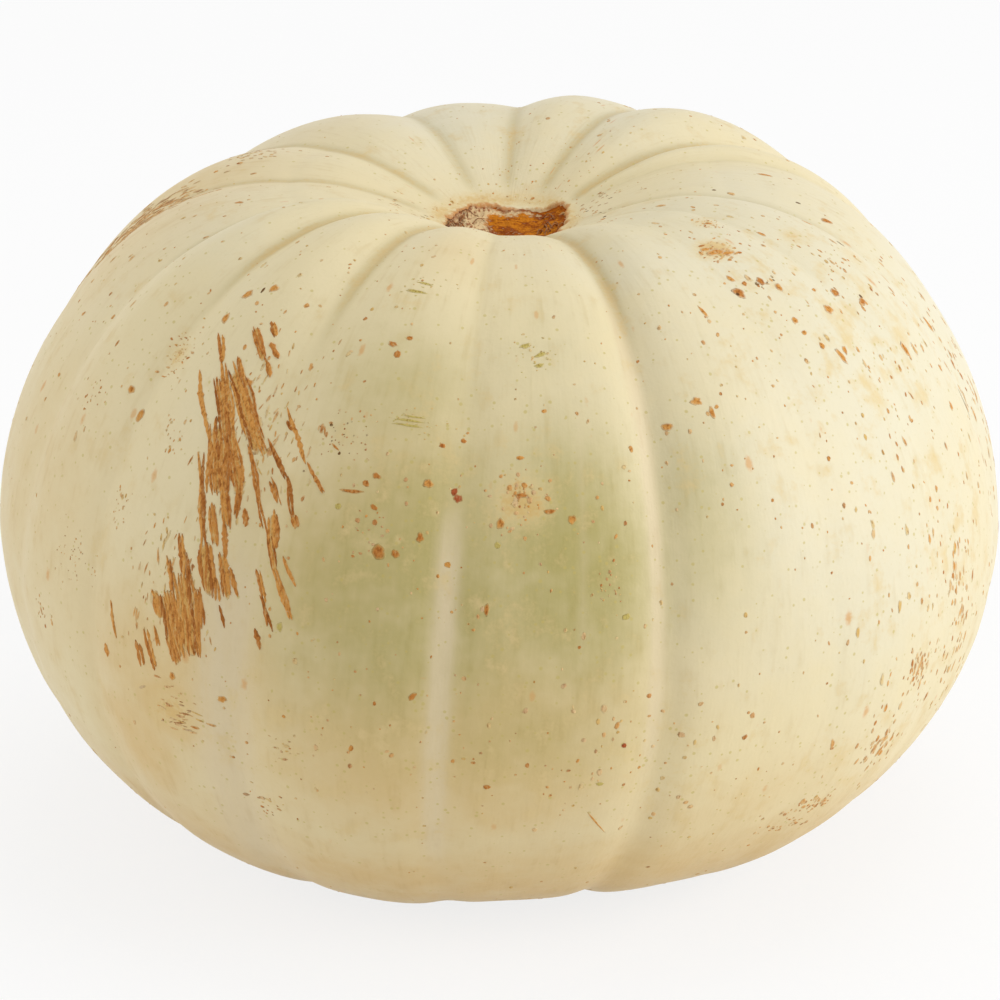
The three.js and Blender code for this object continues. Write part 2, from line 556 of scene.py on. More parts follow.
# Each row is a zone or a band of the rind, with its fields in order. All of them were set one by one.
GREEN_CAST = of_kind(
    Zone,
    (-10, 168, 17, 46, 1.05), (7, 160, 13, 42, 1.0), (-15, 116, 14, 32, 0.55), (3, 96, 14, 30, 0.3),
    (23, 150, 9, 40, 0.5), (0, 208, 22, 26, 0.5), (48, 44, 34, 24, 0.22), (-60, 40, 30, 20, 0.15),
    (133, 150, 13, 50, 0.5), (-150, 165, 16, 46, 0.55),
)
WARM_CAST_AND_SHADE = of_kind(
    Zone,
    (-70, 180, 30, 70, 0.5), (-36, 205, 20, 34, 0.8), (-16, 162, 16, 50, 0.75), (-38, 216, 6, 13, 1.3),
    # The zones at -106 and -138 darken the back-left flank, partly as painted shade and partly as a warmer tone.
    (-14, 274, 22, 16, 1.1), (-45, 236, 9, 26, 0.9), (-106, 104, 32, 60, 0.7), (-138, 68, 30, 30, 0.35),
    (-13, 58, 9, 24, 0.4), (-6, 214, 26, 44, 0.95), (30, 245, 26, 26, 0.5), (0, 290, 900, 44, 0.9),
    (170, 200, 30, 40, 0.4),
)
PALENESS = of_kind(
    Zone,
    (62, 120, 36, 110, 1.0), (88, 140, 28, 110, 0.9), (30, 90, 24, 60, 0.6), (180, 70, 110, 60, 0.6),
)
PALE_BANDS_AND_HIGHLIGHT = of_kind(
    Band,
    # The band at 17.2 degrees is partly a pale band of the rind and partly a painted highlight along the lit edge
    # of the rib beside the groove.
    (-6.4, 4.2, 145, 262, 0.75), (17.2, 2.8, 70, 225, 0.75), (8.5, 1.6, 110, 190, 0.3),
    (-31, 10.5, 165, 280, 0.8), (146, 4.0, 130, 240, 0.5), (-128, 5.0, 140, 240, 0.5),
)
SPOTTING = of_kind(
    Zone,
    (58, 105, 28, 62, 1.0), (62, 190, 16, 60, 1.0), (46, 236, 16, 26, 1.0), (-6, 150, 26, 44, 0.85),
    (-12, 216, 30, 30, 0.85), (12, 224, 20, 26, 0.9), (-52, 130, 14, 40, 0.5), (-80, 120, 26, 60, 0.45),
    (150, 60, 60, 55, 0.5), (135, 190, 30, 60, 0.9), (-150, 200, 35, 50, 0.7), (180, 120, 35, 50, 0.6),
    (0, 8, 900, 14, 0.5),
)
STAINS = of_kind(
    Zone,
    (-30, 138, 9, 34, 0.55), (-38, 180, 8, 24, 0.5), (44, 68, 6, 6, 1.4), (53, 55, 5, 5, 1.1),
    (43, 85, 3, 3, 0.9), (43, 86, 3, 4, 0.8), (66, 76, 5, 6, 0.95), (74, 94, 5, 9, 0.9), (54, 212, 3, 7, 0.8),
    (43, 254, 5, 5, 0.9), (1.5, 141, 5, 11, 1.25), (-37.5, 218, 3.6, 8, 1.3), (-50, 117, 3, 6, 1.1),
    (-23.5, 221, 2, 4, 0.8), (-26, 243, 2.5, 4, 0.8), (-15, 156, 3, 5, 0.9), (-16, 138, 6, 14, 0.45),
    (-16, 80, 4, 5, 0.4), (64, 205, 8, 30, 0.5), (-106, 95, 12, 30, 0.6), (150, 62, 5, 7, 0.8),
    (125, 175, 8, 14, 0.5), (175, 28, 2.4, 22, 0.85), (128, 40, 8, 9, 0.6), (95, 44, 6, 8, 0.5),
    (0, 1, 900, 5, 1.2),
)


@dataclass
class Skin:
    """The fruit's rind, with its ribs, soft hollows, lumps and the sunken bed of the stem scar."""

    form: RibbedForm = FORM
    columns_per_rib: int = 24
    lump_size: float = 45 * MM
    lump_height: float = 0.5 * MM
    dimple_size: float = 13 * MM
    dimple_height: float = 0.12 * MM
    grain_radius: float = 120.0
    foot_height: float = 12 * MM
    scar_reach: float = 14 * MM
    scar_stain: float = 1.5 * MM
    crease_width: float = 2.6
    front_limit: float = 75.0
    name: str = "pumpkin_skin"
    node: str = "pumpkin"

    def build(self, finish: "RindFinish") -> Piece:
        """The closed skin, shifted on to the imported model's box.

        Args:
            finish: what it is dressed in.

        Returns:
            The object.
        """
        azimuths = self.form.columns(self.columns_per_rib)
        places = self.form.meridian.places()
        rings = places[1:-1]
        drops = self.form.drop_of_place(places) / MM
        across, last = len(azimuths), len(places) - 1
        grid = self.form.points(azimuths[None, :], rings[:, None], self.unevenness(azimuths, rings))
        top = self.form.points(0.0, places[0], -SCAR.sink)[None]
        bottom = self.form.points(0.0, places[-1])[None]
        vertices = np.concatenate([top, grid.reshape(-1, 3), bottom])

        def index(row: int, column: int) -> int:
            """The number of the point at a row and a column."""
            if row in (0, last):
                return 0 if row == 0 else len(vertices) - 1
            return 1 + (row - 1) * across + column % across

        faces = []
        for row in range(last):
            for column in range(across):
                cells = [(row, column), (row + 1, column), (row + 1, column + 1), (row, column + 1)]
                if row == 0:
                    cells.pop()
                elif row == last - 1:
                    cells.pop(1)
                faces.append([index(*cell) for cell in cells])
        made = as_object(self.name, vertices, faces)
        self.mark_zones(made, azimuths, drops)
        self.settle_in_frame(made)
        made.data.materials.append(finish.material())
        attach(made, "root")
        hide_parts(self.node)
        return made

    def unevenness(self, azimuths: Array, places: Array) -> Array:
        """Soft lumps and dimples of the grown surface, and the bed of the stem scar.

        Args:
            azimuths: azimuths of the columns.
            places: places of the rows.

        Returns:
            How far each point stands out, by row and column.
        """
        plain = self.form.points(azimuths[None, :], places[:, None])
        drops = self.form.drop_of_place(places)[:, None]
        middle = self.form.points(0.0, -1.0)
        scar = SCAR.relief(plain[..., 0] - middle[0], plain[..., 1] - middle[1])
        return self.lumps(plain, drops) + scar * (drops < self.scar_reach)

    def lumps(self, plain: Array, drops: Array) -> Array:
        """How far the soft lumps and dimples stand out.

        Args:
            plain: points of the even surface.
            drops: their drops in metres.

        Returns:
            Heights, one for each point.
        """
        heights = np.empty(plain.shape[:-1])
        for spot in np.ndindex(*heights.shape):
            point = plain[spot]
            heights[spot] = (
                self.lump_height * roughened(point, self.lump_size)
                + self.dimple_height * roughened(point + 7.5, self.dimple_size)
            )
        above_foot = np.clip(plain[..., 2] / self.foot_height, 0, 1)
        return heights * above_foot * np.clip(drops / self.scar_reach, 0, 1)

    def on_rind(self, azimuths: Array, drops: Array, lifts: Array) -> Array:
        """Points on the finished rind, in the frame.

        Args:
            azimuths: their azimuths.
            drops: their drops in mm.
            lifts: how far above the rind they are, in mm.

        Returns:
            The points.
        """
        places = self.form.place_of_drop(drops * MM)
        lumps = self.lumps(self.form.points(azimuths, places), drops * MM)
        return self.form.points(azimuths, places, lumps + lifts * MM) + SHIFT

    def ground_tone(self, azimuths: Array, drops: Array) -> Array:
        """The rind's colour at places on it, with the painted shade that the warm cast puts on the back-left flank.

        Args:
            azimuths: the places' azimuths.
            drops: their drops in mm.

        Returns:
            The colours, one row for each place.
        """
        tone = np.array(Tone.CREAM.value) * np.ones((azimuths.size, 1))
        for over, share in (
            (Tone.IVORY, strongest(PALENESS, azimuths, drops)),
            (Tone.WARM, smooth_rise(strongest(WARM_CAST_AND_SHADE, azimuths, drops), 0.0, FULL_WARM)),
            (Tone.GREEN, smooth_rise(strongest(GREEN_CAST, azimuths, drops), 0.0, FULL_GREEN)),
        ):
            tone += (np.array(over.value) - tone) * share[:, None]
        return tone

    def azimuth_at(self, across: Array, drops: Array) -> Array:
        """The azimuths of places on the front.

        Args:
            across: how far towards +X they are, in mm.
            drops: their drops in mm.

        Returns:
            The azimuths.
        """
        places = self.form.place_of_drop(drops * MM)
        azimuths = np.zeros(np.shape(across))
        for _ in range(6):
            here = self.form.points(azimuths, places) + SHIFT
            further = self.form.points(azimuths + 1.0, places) + SHIFT
            step = np.maximum(further[..., 0] - here[..., 0], 0.3 * MM)
            azimuths = azimuths + (across * MM - here[..., 0]) / step
            azimuths = np.clip(azimuths, -self.front_limit, self.front_limit)
        return azimuths

    def mark_zones(self, made: Piece, azimuths: Array, drops: Array) -> None:
        """Stores where the rind is greener, warmer, paler, spotted, stained or creased, and its grain. The warm
        cast also holds painted shade on the back-left flank, and one pale band holds a painted highlight.

        Args:
            made: the skin.
            azimuths: azimuths of the columns.
            drops: drops of the rows in mm, with the two ends.
        """
        table = self.form.meridian.table()
        radius = np.interp(drops[1:-1] * MM, table[:, 5], table[:, 1]) / MM
        across, down = np.broadcast_arrays(azimuths[None, :], drops[1:-1, None])
        per_degree = np.radians(radius)[:, None]
        layers = {
            "green_cast": strongest(GREEN_CAST, across, down),
            "warm_cast_and_shade": strongest(WARM_CAST_AND_SHADE, across, down),
            "paleness": strongest(PALENESS, across, down),
            "pale_band_and_highlight": reduce(np.maximum, (band.at(across, down, per_degree) for band in PALE_BANDS_AND_HIGHLIGHT)),
            "spotting": strongest(SPOTTING, across, down),
            "stain": strongest(STAINS, across, down),
            "crease": self.near_crease(across, down, per_degree),
            "scar_edge": self.near_scar(across, down),
        }
        for name, layer in layers.items():
            store(made, name, np.concatenate([[layer[0].mean()], layer.ravel(), [layer[-1].mean()]]))
        turned = np.radians(across)
        grain = np.stack([self.grain_radius * np.sin(turned), -self.grain_radius * np.cos(turned), down], -1)
        ends = np.array([[0, 0, drops[0]]]), np.array([[0, 0, drops[-1]]])
        store(made, "grain", np.concatenate([ends[0], grain.reshape(-1, 3), ends[1]]))

    def near_scar(self, across: Array, down: Array) -> Array:
        """How close to the edge of the stem scar each place is.

        Args:
            across: the places' azimuths.
            down: their drops in mm.

        Returns:
            Strengths from 0 to 1.
        """
        points = self.form.points(across, self.form.place_of_drop(down * MM)) - self.form.points(0.0, -1.0)
        aside, back = points[..., 0], points[..., 1]
        inside = SCAR.reach(np.arctan2(back, aside)) - np.hypot(aside, back)
        return np.exp(-((inside / self.scar_stain) ** 2)) * (down * MM < self.scar_reach)

    def near_crease(self, across: Array, down: Array, per_degree: Array) -> Array:
        """How deep in a crease of the crown each place is.

        Args:
            across: the places' azimuths.
            down: their drops in mm.
            per_degree: how many mm a degree is at each of them.

        Returns:
            Strengths from 0 to 1.
        """
        _, share, width = self.form.across(across)
        aside = np.minimum(share, 1 - share) * width * per_degree
        depth = self.form.of_groove(across, "crease")
        crown = smooth_rise(down, 0, 12) * (1 - smooth_rise(down, 70, 120))
        return np.exp(-((aside / self.crease_width) ** 2)) * crown * np.minimum(depth * 1.4, 1)

    def settle_in_frame(self, made: Piece) -> None:
        """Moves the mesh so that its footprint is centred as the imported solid's is.

        Args:
            made: the skin.
        """
        low, high = (np.array(corner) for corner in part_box(self.node))
        points = np.array([vertex.co for vertex in made.data.vertices])
        shift = (low + high - points.min(0) - points.max(0)) / 2
        SHIFT[:2] = shift[:2]
        points += SHIFT
        made.data.vertices.foreach_set("co", points.ravel())
        made.data.update()


SHIFT = np.zeros(3)


def polar_places(edge: Array, turn: Array, rings: int) -> tuple[Array, Array, Array]:
    """Places on rings round a middle, out to an edge.

    Args:
        edge: how far the edge is in each direction.
        turn: the directions in radians.
        rings: how many rings there are.

    Returns:
        How far out the places are, how far towards +X and how far towards +Y, by ring and direction.
    """
    out = (np.arange(1, rings + 1) / rings)[:, None] * edge[None, :]
    return out, out * np.cos(turn), out * np.sin(turn)


def polar_plate(rings: Array, top: Array, under: Array) -> tuple[Array, list[list[int]]]:
    """A closed round plate from a grid of points on rings around a middle.

    Args:
        rings: the points' x and y, by ring and direction, from near the middle outwards.
        top: heights of the upper side, by ring and direction.
        under: heights of the lower side.

    Returns:
        The points and the faces.
    """
    many, around = top.shape
    sides = []
    for heights in (top, under):
        middle = np.append(rings[0].mean(0), heights[0].mean())[None]
        sides.append(np.concatenate([middle, np.dstack([rings, heights]).reshape(-1, 3)]))
    count = 1 + many * around
    faces = []
    for side in (0, 1):
        start = side * count
        for column in range(around):
            after = (column + 1) % around
            fan = [start, start + 1 + column, start + 1 + after]
            faces.append(fan if side == 0 else fan[::-1])
            for ring in range(many - 1):
                inner, outer = start + 1 + ring * around, start + 1 + (ring + 1) * around
                quad = [inner + column, outer + column, outer + after, inner + after]
                faces.append(quad if side == 0 else quad[::-1])
    rim = 1 + (many - 1) * around
    for column in range(around):
        after = (column + 1) % around
        faces.append([rim + column, count + rim + column, count + rim + after, rim + after])
    return np.concatenate(sides), faces


@dataclass
class StemScar:
    """The plate of torn cork in the crown, its torn tissue and its loose fibres."""

    form: RibbedForm = FORM
    outline: ScarOutline = SCAR
    rings: int = 52
    around: int = 240
    thickness: float = 1.0 * MM
    depth: float = 1.6 * MM
    tuck: float = 0.35 * MM
    coarse_height: float = 0.75 * MM
    fine_height: float = 0.4 * MM
    torn_height: float = 1.0 * MM
    fibres: int = 26
    seed: int = 11
    name: str = "stem_scar"

    def middle(self) -> Array:
        """The middle of the scar in the frame."""
        return self.form.points(0.0, -1.0) + SHIFT

    def bed(self, across: Array, back: Array) -> Array:
        """Heights of the unsunk crown near the scar.

        Args:
            across: distances towards +X from the scar's middle.
            back: distances towards +Y.

        Returns:
            The heights.
        """
        table = self.form.meridian.table()
        near = table[table[:, 0] < 0.15]
        height = np.interp(np.hypot(across, back), near[:, 1], near[:, 2]) - self.form.settle
        return height - across * math.tan(math.radians(self.form.tilt))

    def torn(self, across: Array, back: Array) -> Array:
        """How much of the pale torn tissue there is at places on the plate, from 0 to 1."""
        left = smooth_rise(-across, 3 * MM, 9 * MM) * smooth_rise(back, -12 * MM, -4 * MM)
        strip = np.exp(-(((back - 13.2 * MM) / (2.2 * MM)) ** 2)) * smooth_rise(-across, -12 * MM, -4 * MM)
        return np.clip(left + 0.8 * strip, 0, 1)

    def surface(self, across: Array, back: Array) -> Array:
        """Heights of the cork's upper side.

        Args:
            across: distances towards +X from the scar's middle.
            back: distances towards +Y.

        Returns:
            The heights.
        """
        inside = self.outline.reach(np.arctan2(back, across)) - np.hypot(across, back)
        relief = np.empty(across.shape)
        torn = self.torn(across, back)
        for spot in np.ndindex(*across.shape):
            point = (across[spot], back[spot] * 0.6, 0.0)
            relief[spot] = (
                self.coarse_height * roughened(point, 7 * MM, 3)
                + self.fine_height * roughened((point[0] + 0.3, point[1], 0.0), 1.8 * MM, 3)
                + torn[spot] * self.torn_height * (0.5 + roughened((point[0], point[1] + 0.5, 0.0), 3 * MM, 2))
            )
        ragged_rim = 0.7 * MM * np.exp(-((inside / (1.6 * MM)) ** 2))
        settled = smooth_rise(inside, -0.3 * MM, 0.6 * MM)
        return self.bed(across, back) - self.outline.sink + self.thickness + relief * settled + ragged_rim * settled

    def build(self, cork: "CorkFinish", strands: "StrandFinish") -> list[Piece]:
        """The cork plate and the fibres on it.

        Args:
            cork: the plate's finish.
            strands: the fibres' finish.

        Returns:
            The objects.
        """
        turn = np.linspace(0, 2 * math.pi, self.around, endpoint=False)
        out, across, back = polar_places(self.outline.reach(turn) + self.tuck, turn, self.rings)
        top = self.surface(across, back)
        under = self.bed(across, back) - self.outline.sink - self.depth
        vertices, faces = polar_plate(np.dstack([across, back]), top, under)
        vertices += self.middle() * (1, 1, 0)
        made = as_object(self.name, vertices, faces)
        inside = (self.outline.reach(turn)[None, :] - out) / MM
        for name, layer in (("torn", self.torn(across, back)), ("inside", inside)):
            side = np.concatenate([[layer[0].mean()], layer.ravel()])
            store(made, name, np.concatenate([side, side]))
        dress_in_cork(made, cork.material())
        return [made, self.loose_fibres(strands)]

    def loose_fibres(self, finish: "StrandFinish") -> Piece:
        """Torn strands that stand up from the cork, most of them at its left and right ends.

        Args:
            finish: the strands' finish.

        Returns:
            One object that holds them all.
        """
        draw = random.Random(self.seed)
        vertices, faces = [], []
        for number in range(self.fibres):
            toward = draw.uniform(140, 215) if number % 3 else draw.uniform(-18, 34)
            angle = math.radians(toward)
            out = float(self.outline.reach(np.array([angle]))[0]) * draw.uniform(0.55, 0.97)
            start = np.array([out * math.cos(angle), out * math.sin(angle)])
            heading = angle + math.radians(draw.uniform(50, 130) * draw.choice((-1, 1)))
            length, rise = draw.uniform(3, 8) * MM, draw.uniform(0.5, 1.7) * MM
            bend = draw.uniform(-0.6, 0.6)
            share = np.linspace(0, 1, 8)
            way = heading + bend * share
            step = length / 7
            along_x = start[0] + np.concatenate([[0], np.cumsum(np.cos(way[1:]) * step)])
            along_y = start[1] + np.concatenate([[0], np.cumsum(np.sin(way[1:]) * step)])
            lift = rise * np.sin(math.pi * np.minimum(share * 1.1, 1)) - 0.15 * MM
            path = np.stack([along_x, along_y, self.surface(along_x, along_y) + lift], -1)
            thick = draw.uniform(0.16, 0.34) * MM * (1 - 0.6 * share)
            tube_points, tube_faces = strand(path, thick)
            faces.extend([[corner + len(vertices) for corner in face] for face in tube_faces])
            vertices.extend(tube_points)
        made = as_object("torn_fibres", np.array(vertices) + self.middle() * (1, 1, 0), faces)
        dress_in_cork(made, finish.material())
        return made


def strand(path: Array, thick: Array, sides: int = 6) -> tuple[list[Array], list[list[int]]]:
    """A closed tapered tube along a path.

    Args:
        path: its points.
        thick: its radius at each point.
        sides: how many sides it has.

    Returns:
        Its points and faces.
    """
    ahead = np.gradient(path, axis=0)
    ahead /= np.linalg.norm(ahead, axis=1)[:, None]
    beside = np.cross(ahead, (0, 0, 1))
    beside /= np.linalg.norm(beside, axis=1)[:, None]
    over = np.cross(beside, ahead)
    turn = np.linspace(0, 2 * math.pi, sides, endpoint=False)
    rings = [
        path[i] + thick[i] * (math.cos(angle) * beside[i] + math.sin(angle) * over[i])
        for i in range(len(path)) for angle in turn
    ]
    ends = [list(range(sides)), list(range(len(rings) - 1, len(rings) - 1 - sides, -1))]
    return rings, ends + between_rings(0, len(path), sides)


@dataclass
class BlossomScar:
    """The small corky button where the blossom fell off, in the middle of the underside."""

    form: RibbedForm = FORM
    radius: float = 8 * MM
    stand: float = 0.9 * MM
    depth: float = 1.0 * MM
    relief: float = 0.5 * MM
    rings: int = 26
    around: int = 120
    seed: int = 3
    name: str = "blossom_scar"

    def build(self, cork: "CorkFinish") -> Piece:
        """The button.

        Args:
            cork: its finish.

        Returns:
            The object.
        """
        turn = np.linspace(0, 2 * math.pi, self.around, endpoint=False)
        share = (np.arange(1, self.rings + 1) / self.rings)[:, None]
        draw = random.Random(self.seed)
        edge = self.radius * (1 + sum(
            draw.uniform(0.02, 0.06) * np.sin(waves * turn + draw.uniform(0, 2 * math.pi)) for waves in (2, 3, 5, 9)
        ))
        out, across, back = polar_places(edge, turn, self.rings)
        table = self.form.meridian.table()
        under = table[table[:, 0] > 1.2][::-1]
        bed = np.interp(out, under[:, 1], under[:, 2]) - self.form.settle
        dome = np.sqrt(np.clip(1 - share**2, 0, 1)) * np.ones_like(out)
        rough = np.array([
            [roughened((across[i, j], back[i, j], 0.0), 2.4 * MM, 3) for j in range(self.around)]
            for i in range(self.rings)
        ])
        low = bed - (self.stand + self.relief * rough) * dome + 0.2 * MM * share**6
        high = bed + self.depth
        vertices, faces = polar_plate(np.dstack([across, back]), high, low)
        vertices += (self.form.points(0.0, 2.0) + SHIFT) * (1, 1, 0)
        made = as_object(self.name, vertices, faces)
        store(made, "torn", np.full(len(vertices), 0.15))
        store(made, "inside", np.full(len(vertices), 6.0))
        dress_in_cork(made, cork.material())
        return made

# ---- Blemishes ----


class Tone(Enum):
    """Colours of the rind, its marks and its scars."""

    CREAM = (0.77, 0.66, 0.40)
    IVORY = (0.75, 0.69, 0.505)
    GREEN = (0.45, 0.385, 0.135)
    WARM = (0.70, 0.51, 0.23)
    PALE = (0.735, 0.61, 0.385)
    FLESH = (0.73, 0.57, 0.28)
    TAN = (0.66, 0.42, 0.13)
    ORANGE = (0.66, 0.305, 0.07)
    CORK = (0.54, 0.215, 0.045)
    BROWN = (0.36, 0.12, 0.02)
    DARK = (0.16, 0.075, 0.02)
    RED = (0.42, 0.10, 0.03)
    OLIVE = (0.56, 0.45, 0.13)
    SCAR_GOLD = (0.64, 0.215, 0.01)
    SCAR_BROWN = (0.27, 0.05, 0.003)
    SCAR_PALE = (0.83, 0.63, 0.35)
    STRAND = (0.17, 0.065, 0.02)
    # Painted shade: CREASE_SHADE darkens the creases of the crown.
    CREASE_SHADE = (0.80, 0.78, 0.68)
    STREAK_SHADE = (0.78, 0.68, 0.46)
    WOOD_SHADE = (0.60, 0.46, 0.34)


def between(first: Tone, second: Tone, share: float) -> Colour:
    """A colour between two tones."""
    return tuple(a + (b - a) * share for a, b in zip(first.value, second.value))


@dataclass(frozen=True)
class Mark:
    """An oval mark: its middle across and down, half its width and length in mm, and its lean in degrees.

    On the front, across is in mm towards +X. Round the fruit, it is an azimuth. Down is the drop. A lean over 0
    carries its lower end towards +X.
    """

    across: float
    down: float
    width: float
    length: float
    lean: float = 0.0


# Each row is a mark: across, down, half its width, half its length and its lean. Each was placed one by one.
CORKY_STREAKS = of_kind(
    Mark,
    (-83, 128, 0.6, 8.5, 10), (-80.7, 144, 1.2, 9, 2), (-78.2, 111.5, 1.0, 4.5, 8), (-76.6, 123, 1.1, 9, 6),
    (-76.5, 127, 2.9, 9, 8), (-72.3, 115.5, 1.1, 4.5, 18), (-70.4, 126, 3.3, 12.5, 20),
    (-67.2, 107, 1.4, 5, 18), (-63.2, 101.5, 1.2, 2.2, 10), (-64.5, 113, 0.8, 2.5, 8),
    (-63, 107.5, 0.7, 2.5, 25), (-78.3, 141, 3.4, 10, 3), (-76.8, 149, 1.4, 11, 7), (-73.6, 141, 2.2, 9.5, 10),
    (-72.7, 151, 0.9, 5, -6), (-71, 155, 0.7, 2.5), (-67.6, 146, 0.8, 15, 12), (-63.3, 163, 1.3, 6, 12),
    (-60.2, 173.5, 0.9, 8, 18), (-62.3, 146, 1.0, 4, 20), (-61.9, 137, 0.9, 5.5, 27),
    (-58.4, 146.5, 0.8, 8, 11), (-57, 153, 1.3, 2, 10), (-62.7, 157, 1.7, 5.5), (-56.4, 129.5, 0.6, 8, 18),
    (-58.3, 127, 1.0, 1.8, 20), (-50.8, 140.5, 1.0, 5.5, 33), (-82.9, 154, 1.0, 14, 2),
    (-81.6, 171.5, 2.5, 7.5, 5), (-79.4, 159, 1.3, 5.5, 6), (-76.2, 162, 0.6, 6, 2),
    (-76.6, 172.5, 1.6, 6.5, 10), (-74.1, 173.5, 0.6, 4, 20), (-77.5, 184, 0.5, 3.5, 14),
    (-78.8, 177, 0.8, 3.5, 6), (-87.2, 186, 4.2, 12.5, 4), (-91.6, 190, 3.0, 10, 10), (-95.8, 186, 2.0, 4, 12),
    (-91.8, 197.5, 1.7, 4.5, 18), (-88.4, 169.5, 1.0, 7, 2), (-91.9, 176, 0.8, 6, 4),
    (-86.6, 174.5, 0.9, 6, 4), (-83.3, 183, 0.8, 5.5, 4), (-84.4, 194, 0.8, 4.5, 12), (-98.4, 200, 1.0, 6, 14),
    (-101.4, 203, 1.0, 4, 12), (-96.6, 195.5, 0.8, 3, 10), (-109.7, 196, 0.5, 5, 10),
    (-112, 207, 0.6, 2.3, 14), (-66.4, 172.5, 0.9, 4.5, 8), (-65.3, 180, 0.9, 5, 14), (-67.6, 188, 0.7, 3, 12),
    (-58.7, 167, 0.4, 4.5, 22),
)
RED_MARKS = of_kind(
    Mark,
    (-6.5, 139.6, 1.1, 1.2), (-6.0, 141.4, 1.4, 1.3), (14, 214, 0.9, 0.9), (-133, 120, 1.2, 1.3),
)
BROWN_MARKS = of_kind(
    Mark,
    (-14.2, 158, 2.0, 2.2, 30), (-12.3, 158, 1.3, 1.2), (-18.3, 142.4, 3.4, 0.6, 4),
    (-16.8, 139.8, 1.2, 0.9, -40), (-15.7, 137.4, 1.3, 0.9, -30), (4.7, 144.6, 1.7, 0.8), (1.4, 140, 1.9, 0.7),
    (-1.9, 172, 0.8, 1.8), (-17.7, 99, 1.5, 0.9, -20), (-16.6, 102, 1.2, 1.2), (-15.5, 96.5, 1.0, 0.8),
    (-6.0, 125, 0.9, 0.8), (-8.5, 127, 1.0, 0.7), (-15.4, 146, 1.2, 0.8, -40), (40, 86.5, 1.9, 2.3, 20),
    (42.5, 84, 1.0, 1.0), (46, 85, 1.3, 1.8, 20), (60, 98, 1.4, 1.9, 20), (64, 105, 1.6, 1.4),
    (84, 83, 1.2, 2.4, 30), (-9.8, 153, 1.1, 1.4), (-21.5, 131, 1.8, 0.35, -30), (-9.2, 198, 0.8, 1.7, -35),
    (-0.6, 227, 1.1, 1.0), (150, 96, 1.6, 1.3), (171, 132, 1.2, 1.8), (-140, 150, 2.0, 1.4),
)
ORANGE_MARKS = of_kind(
    Mark,
    (43.5, 69.5, 3.4, 1.5, -8), (42.2, 67, 2.2, 0.8, -8), (45.6, 71.4, 2.6, 1.0, -8), (53, 56, 1.8, 0.8, -12),
    (-44.5, 93.5, 1.7, 1.7), (-40.5, 89.5, 1.5, 1.5), (-45.3, 102.5, 1.3, 2.0), (-36, 118.5, 1.7, 1.4),
    (-54.5, 132, 1.5, 1.2), (-51.5, 137.5, 1.3, 2.2), (-9.6, 138, 1.4, 1.4), (7.3, 147, 1.3, 1.3),
    (-0.9, 148, 1.2, 1.6), (-6.5, 160, 1.0, 1.0), (55, 101.5, 1.9, 1.9), (48.5, 89, 1.4, 1.5),
    (46.5, 100.5, 1.4, 1.1), (46.7, 105, 1.1, 0.9), (48.5, 110.5, 1.2, 1.2), (51, 115.5, 1.0, 3.2, 14),
    (66, 124, 1.3, 2.9, 6), (98, 64, 1.2, 2.6), (78, 77, 1.2, 2.0), (24.7, 117, 1.6, 1.4),
    (26.4, 121, 0.9, 1.9), (20.4, 122.5, 1.6, 1.3), (31, 90.5, 0.7, 2.4, 10), (82, 128, 1.0, 3.2, 8),
    (71, 147, 1.1, 1.5), (-31, 209, 1.5, 1.1), (12.4, 243, 0.3, 7.0, 33), (-37.5, 206, 1.1, 1.4),
    (1.1, 129.5, 1.2, 0.7), (4.1, 116, 0.8, 0.7), (143, 128, 1.8, 2.2), (128, 150, 1.3, 1.3),
    (188, 88, 2.0, 1.4),
)
OLIVE_MARKS = of_kind(
    Mark,
    (13.4, 175, 1.2, 1.1), (11.9, 227, 1.2, 0.8), (-24.5, 173.5, 1.1, 1.2), (-24.4, 183, 1.1, 1.3),
    (-19.6, 147, 1.0, 1.0), (-13, 121, 4.2, 0.4, -2), (-13, 122.4, 4.6, 0.35, -2),
    (-12.4, 119.8, 3.0, 0.3, -2), (1.6, 95.5, 1.7, 0.9, 20), (3.8, 98.5, 1.9, 0.8, 25),
    (3.6, 102, 1.6, 0.7, 15), (-17, 80, 3.2, 0.7, -6), (-16, 76.5, 2.4, 0.5, -8), (-1.1, 154, 1.0, 1.0),
    (160, 120, 1.6, 1.4),
)
DARK_MARKS = of_kind(
    Mark,
    (-42.2, 91, 0.5, 1.2), (-22.8, 125, 0.6, 0.5), (-20.8, 132.6, 0.5, 0.5), (-34.5, 128, 0.9, 1.0),
    (39.6, 86.8, 0.8, 1.1, 15), (86, 73, 0.5, 1.0), (84, 46, 0.35, 0.9), (76, 89, 0.6, 1.6),
    (78, 152, 0.7, 4.8), (64.6, 103.6, 0.5, 0.9), (-158, 130, 0.7, 1.6), (66, 14, 0.7, 0.7),
)


@dataclass(frozen=True)
class Sprinkle:
    """Blemishes strewn round a place.

    Its first four fields are a zone's. Then come how many there are, the smallest and the biggest half width in mm,
    how long they are for their width, and the names of their tones.
    """

    azimuth: float
    drop: float
    width: float
    length: float
    count: int
    smallest: float
    biggest: float
    stretch: float
    tones: str = "ORANGE ORANGE TAN CORK"


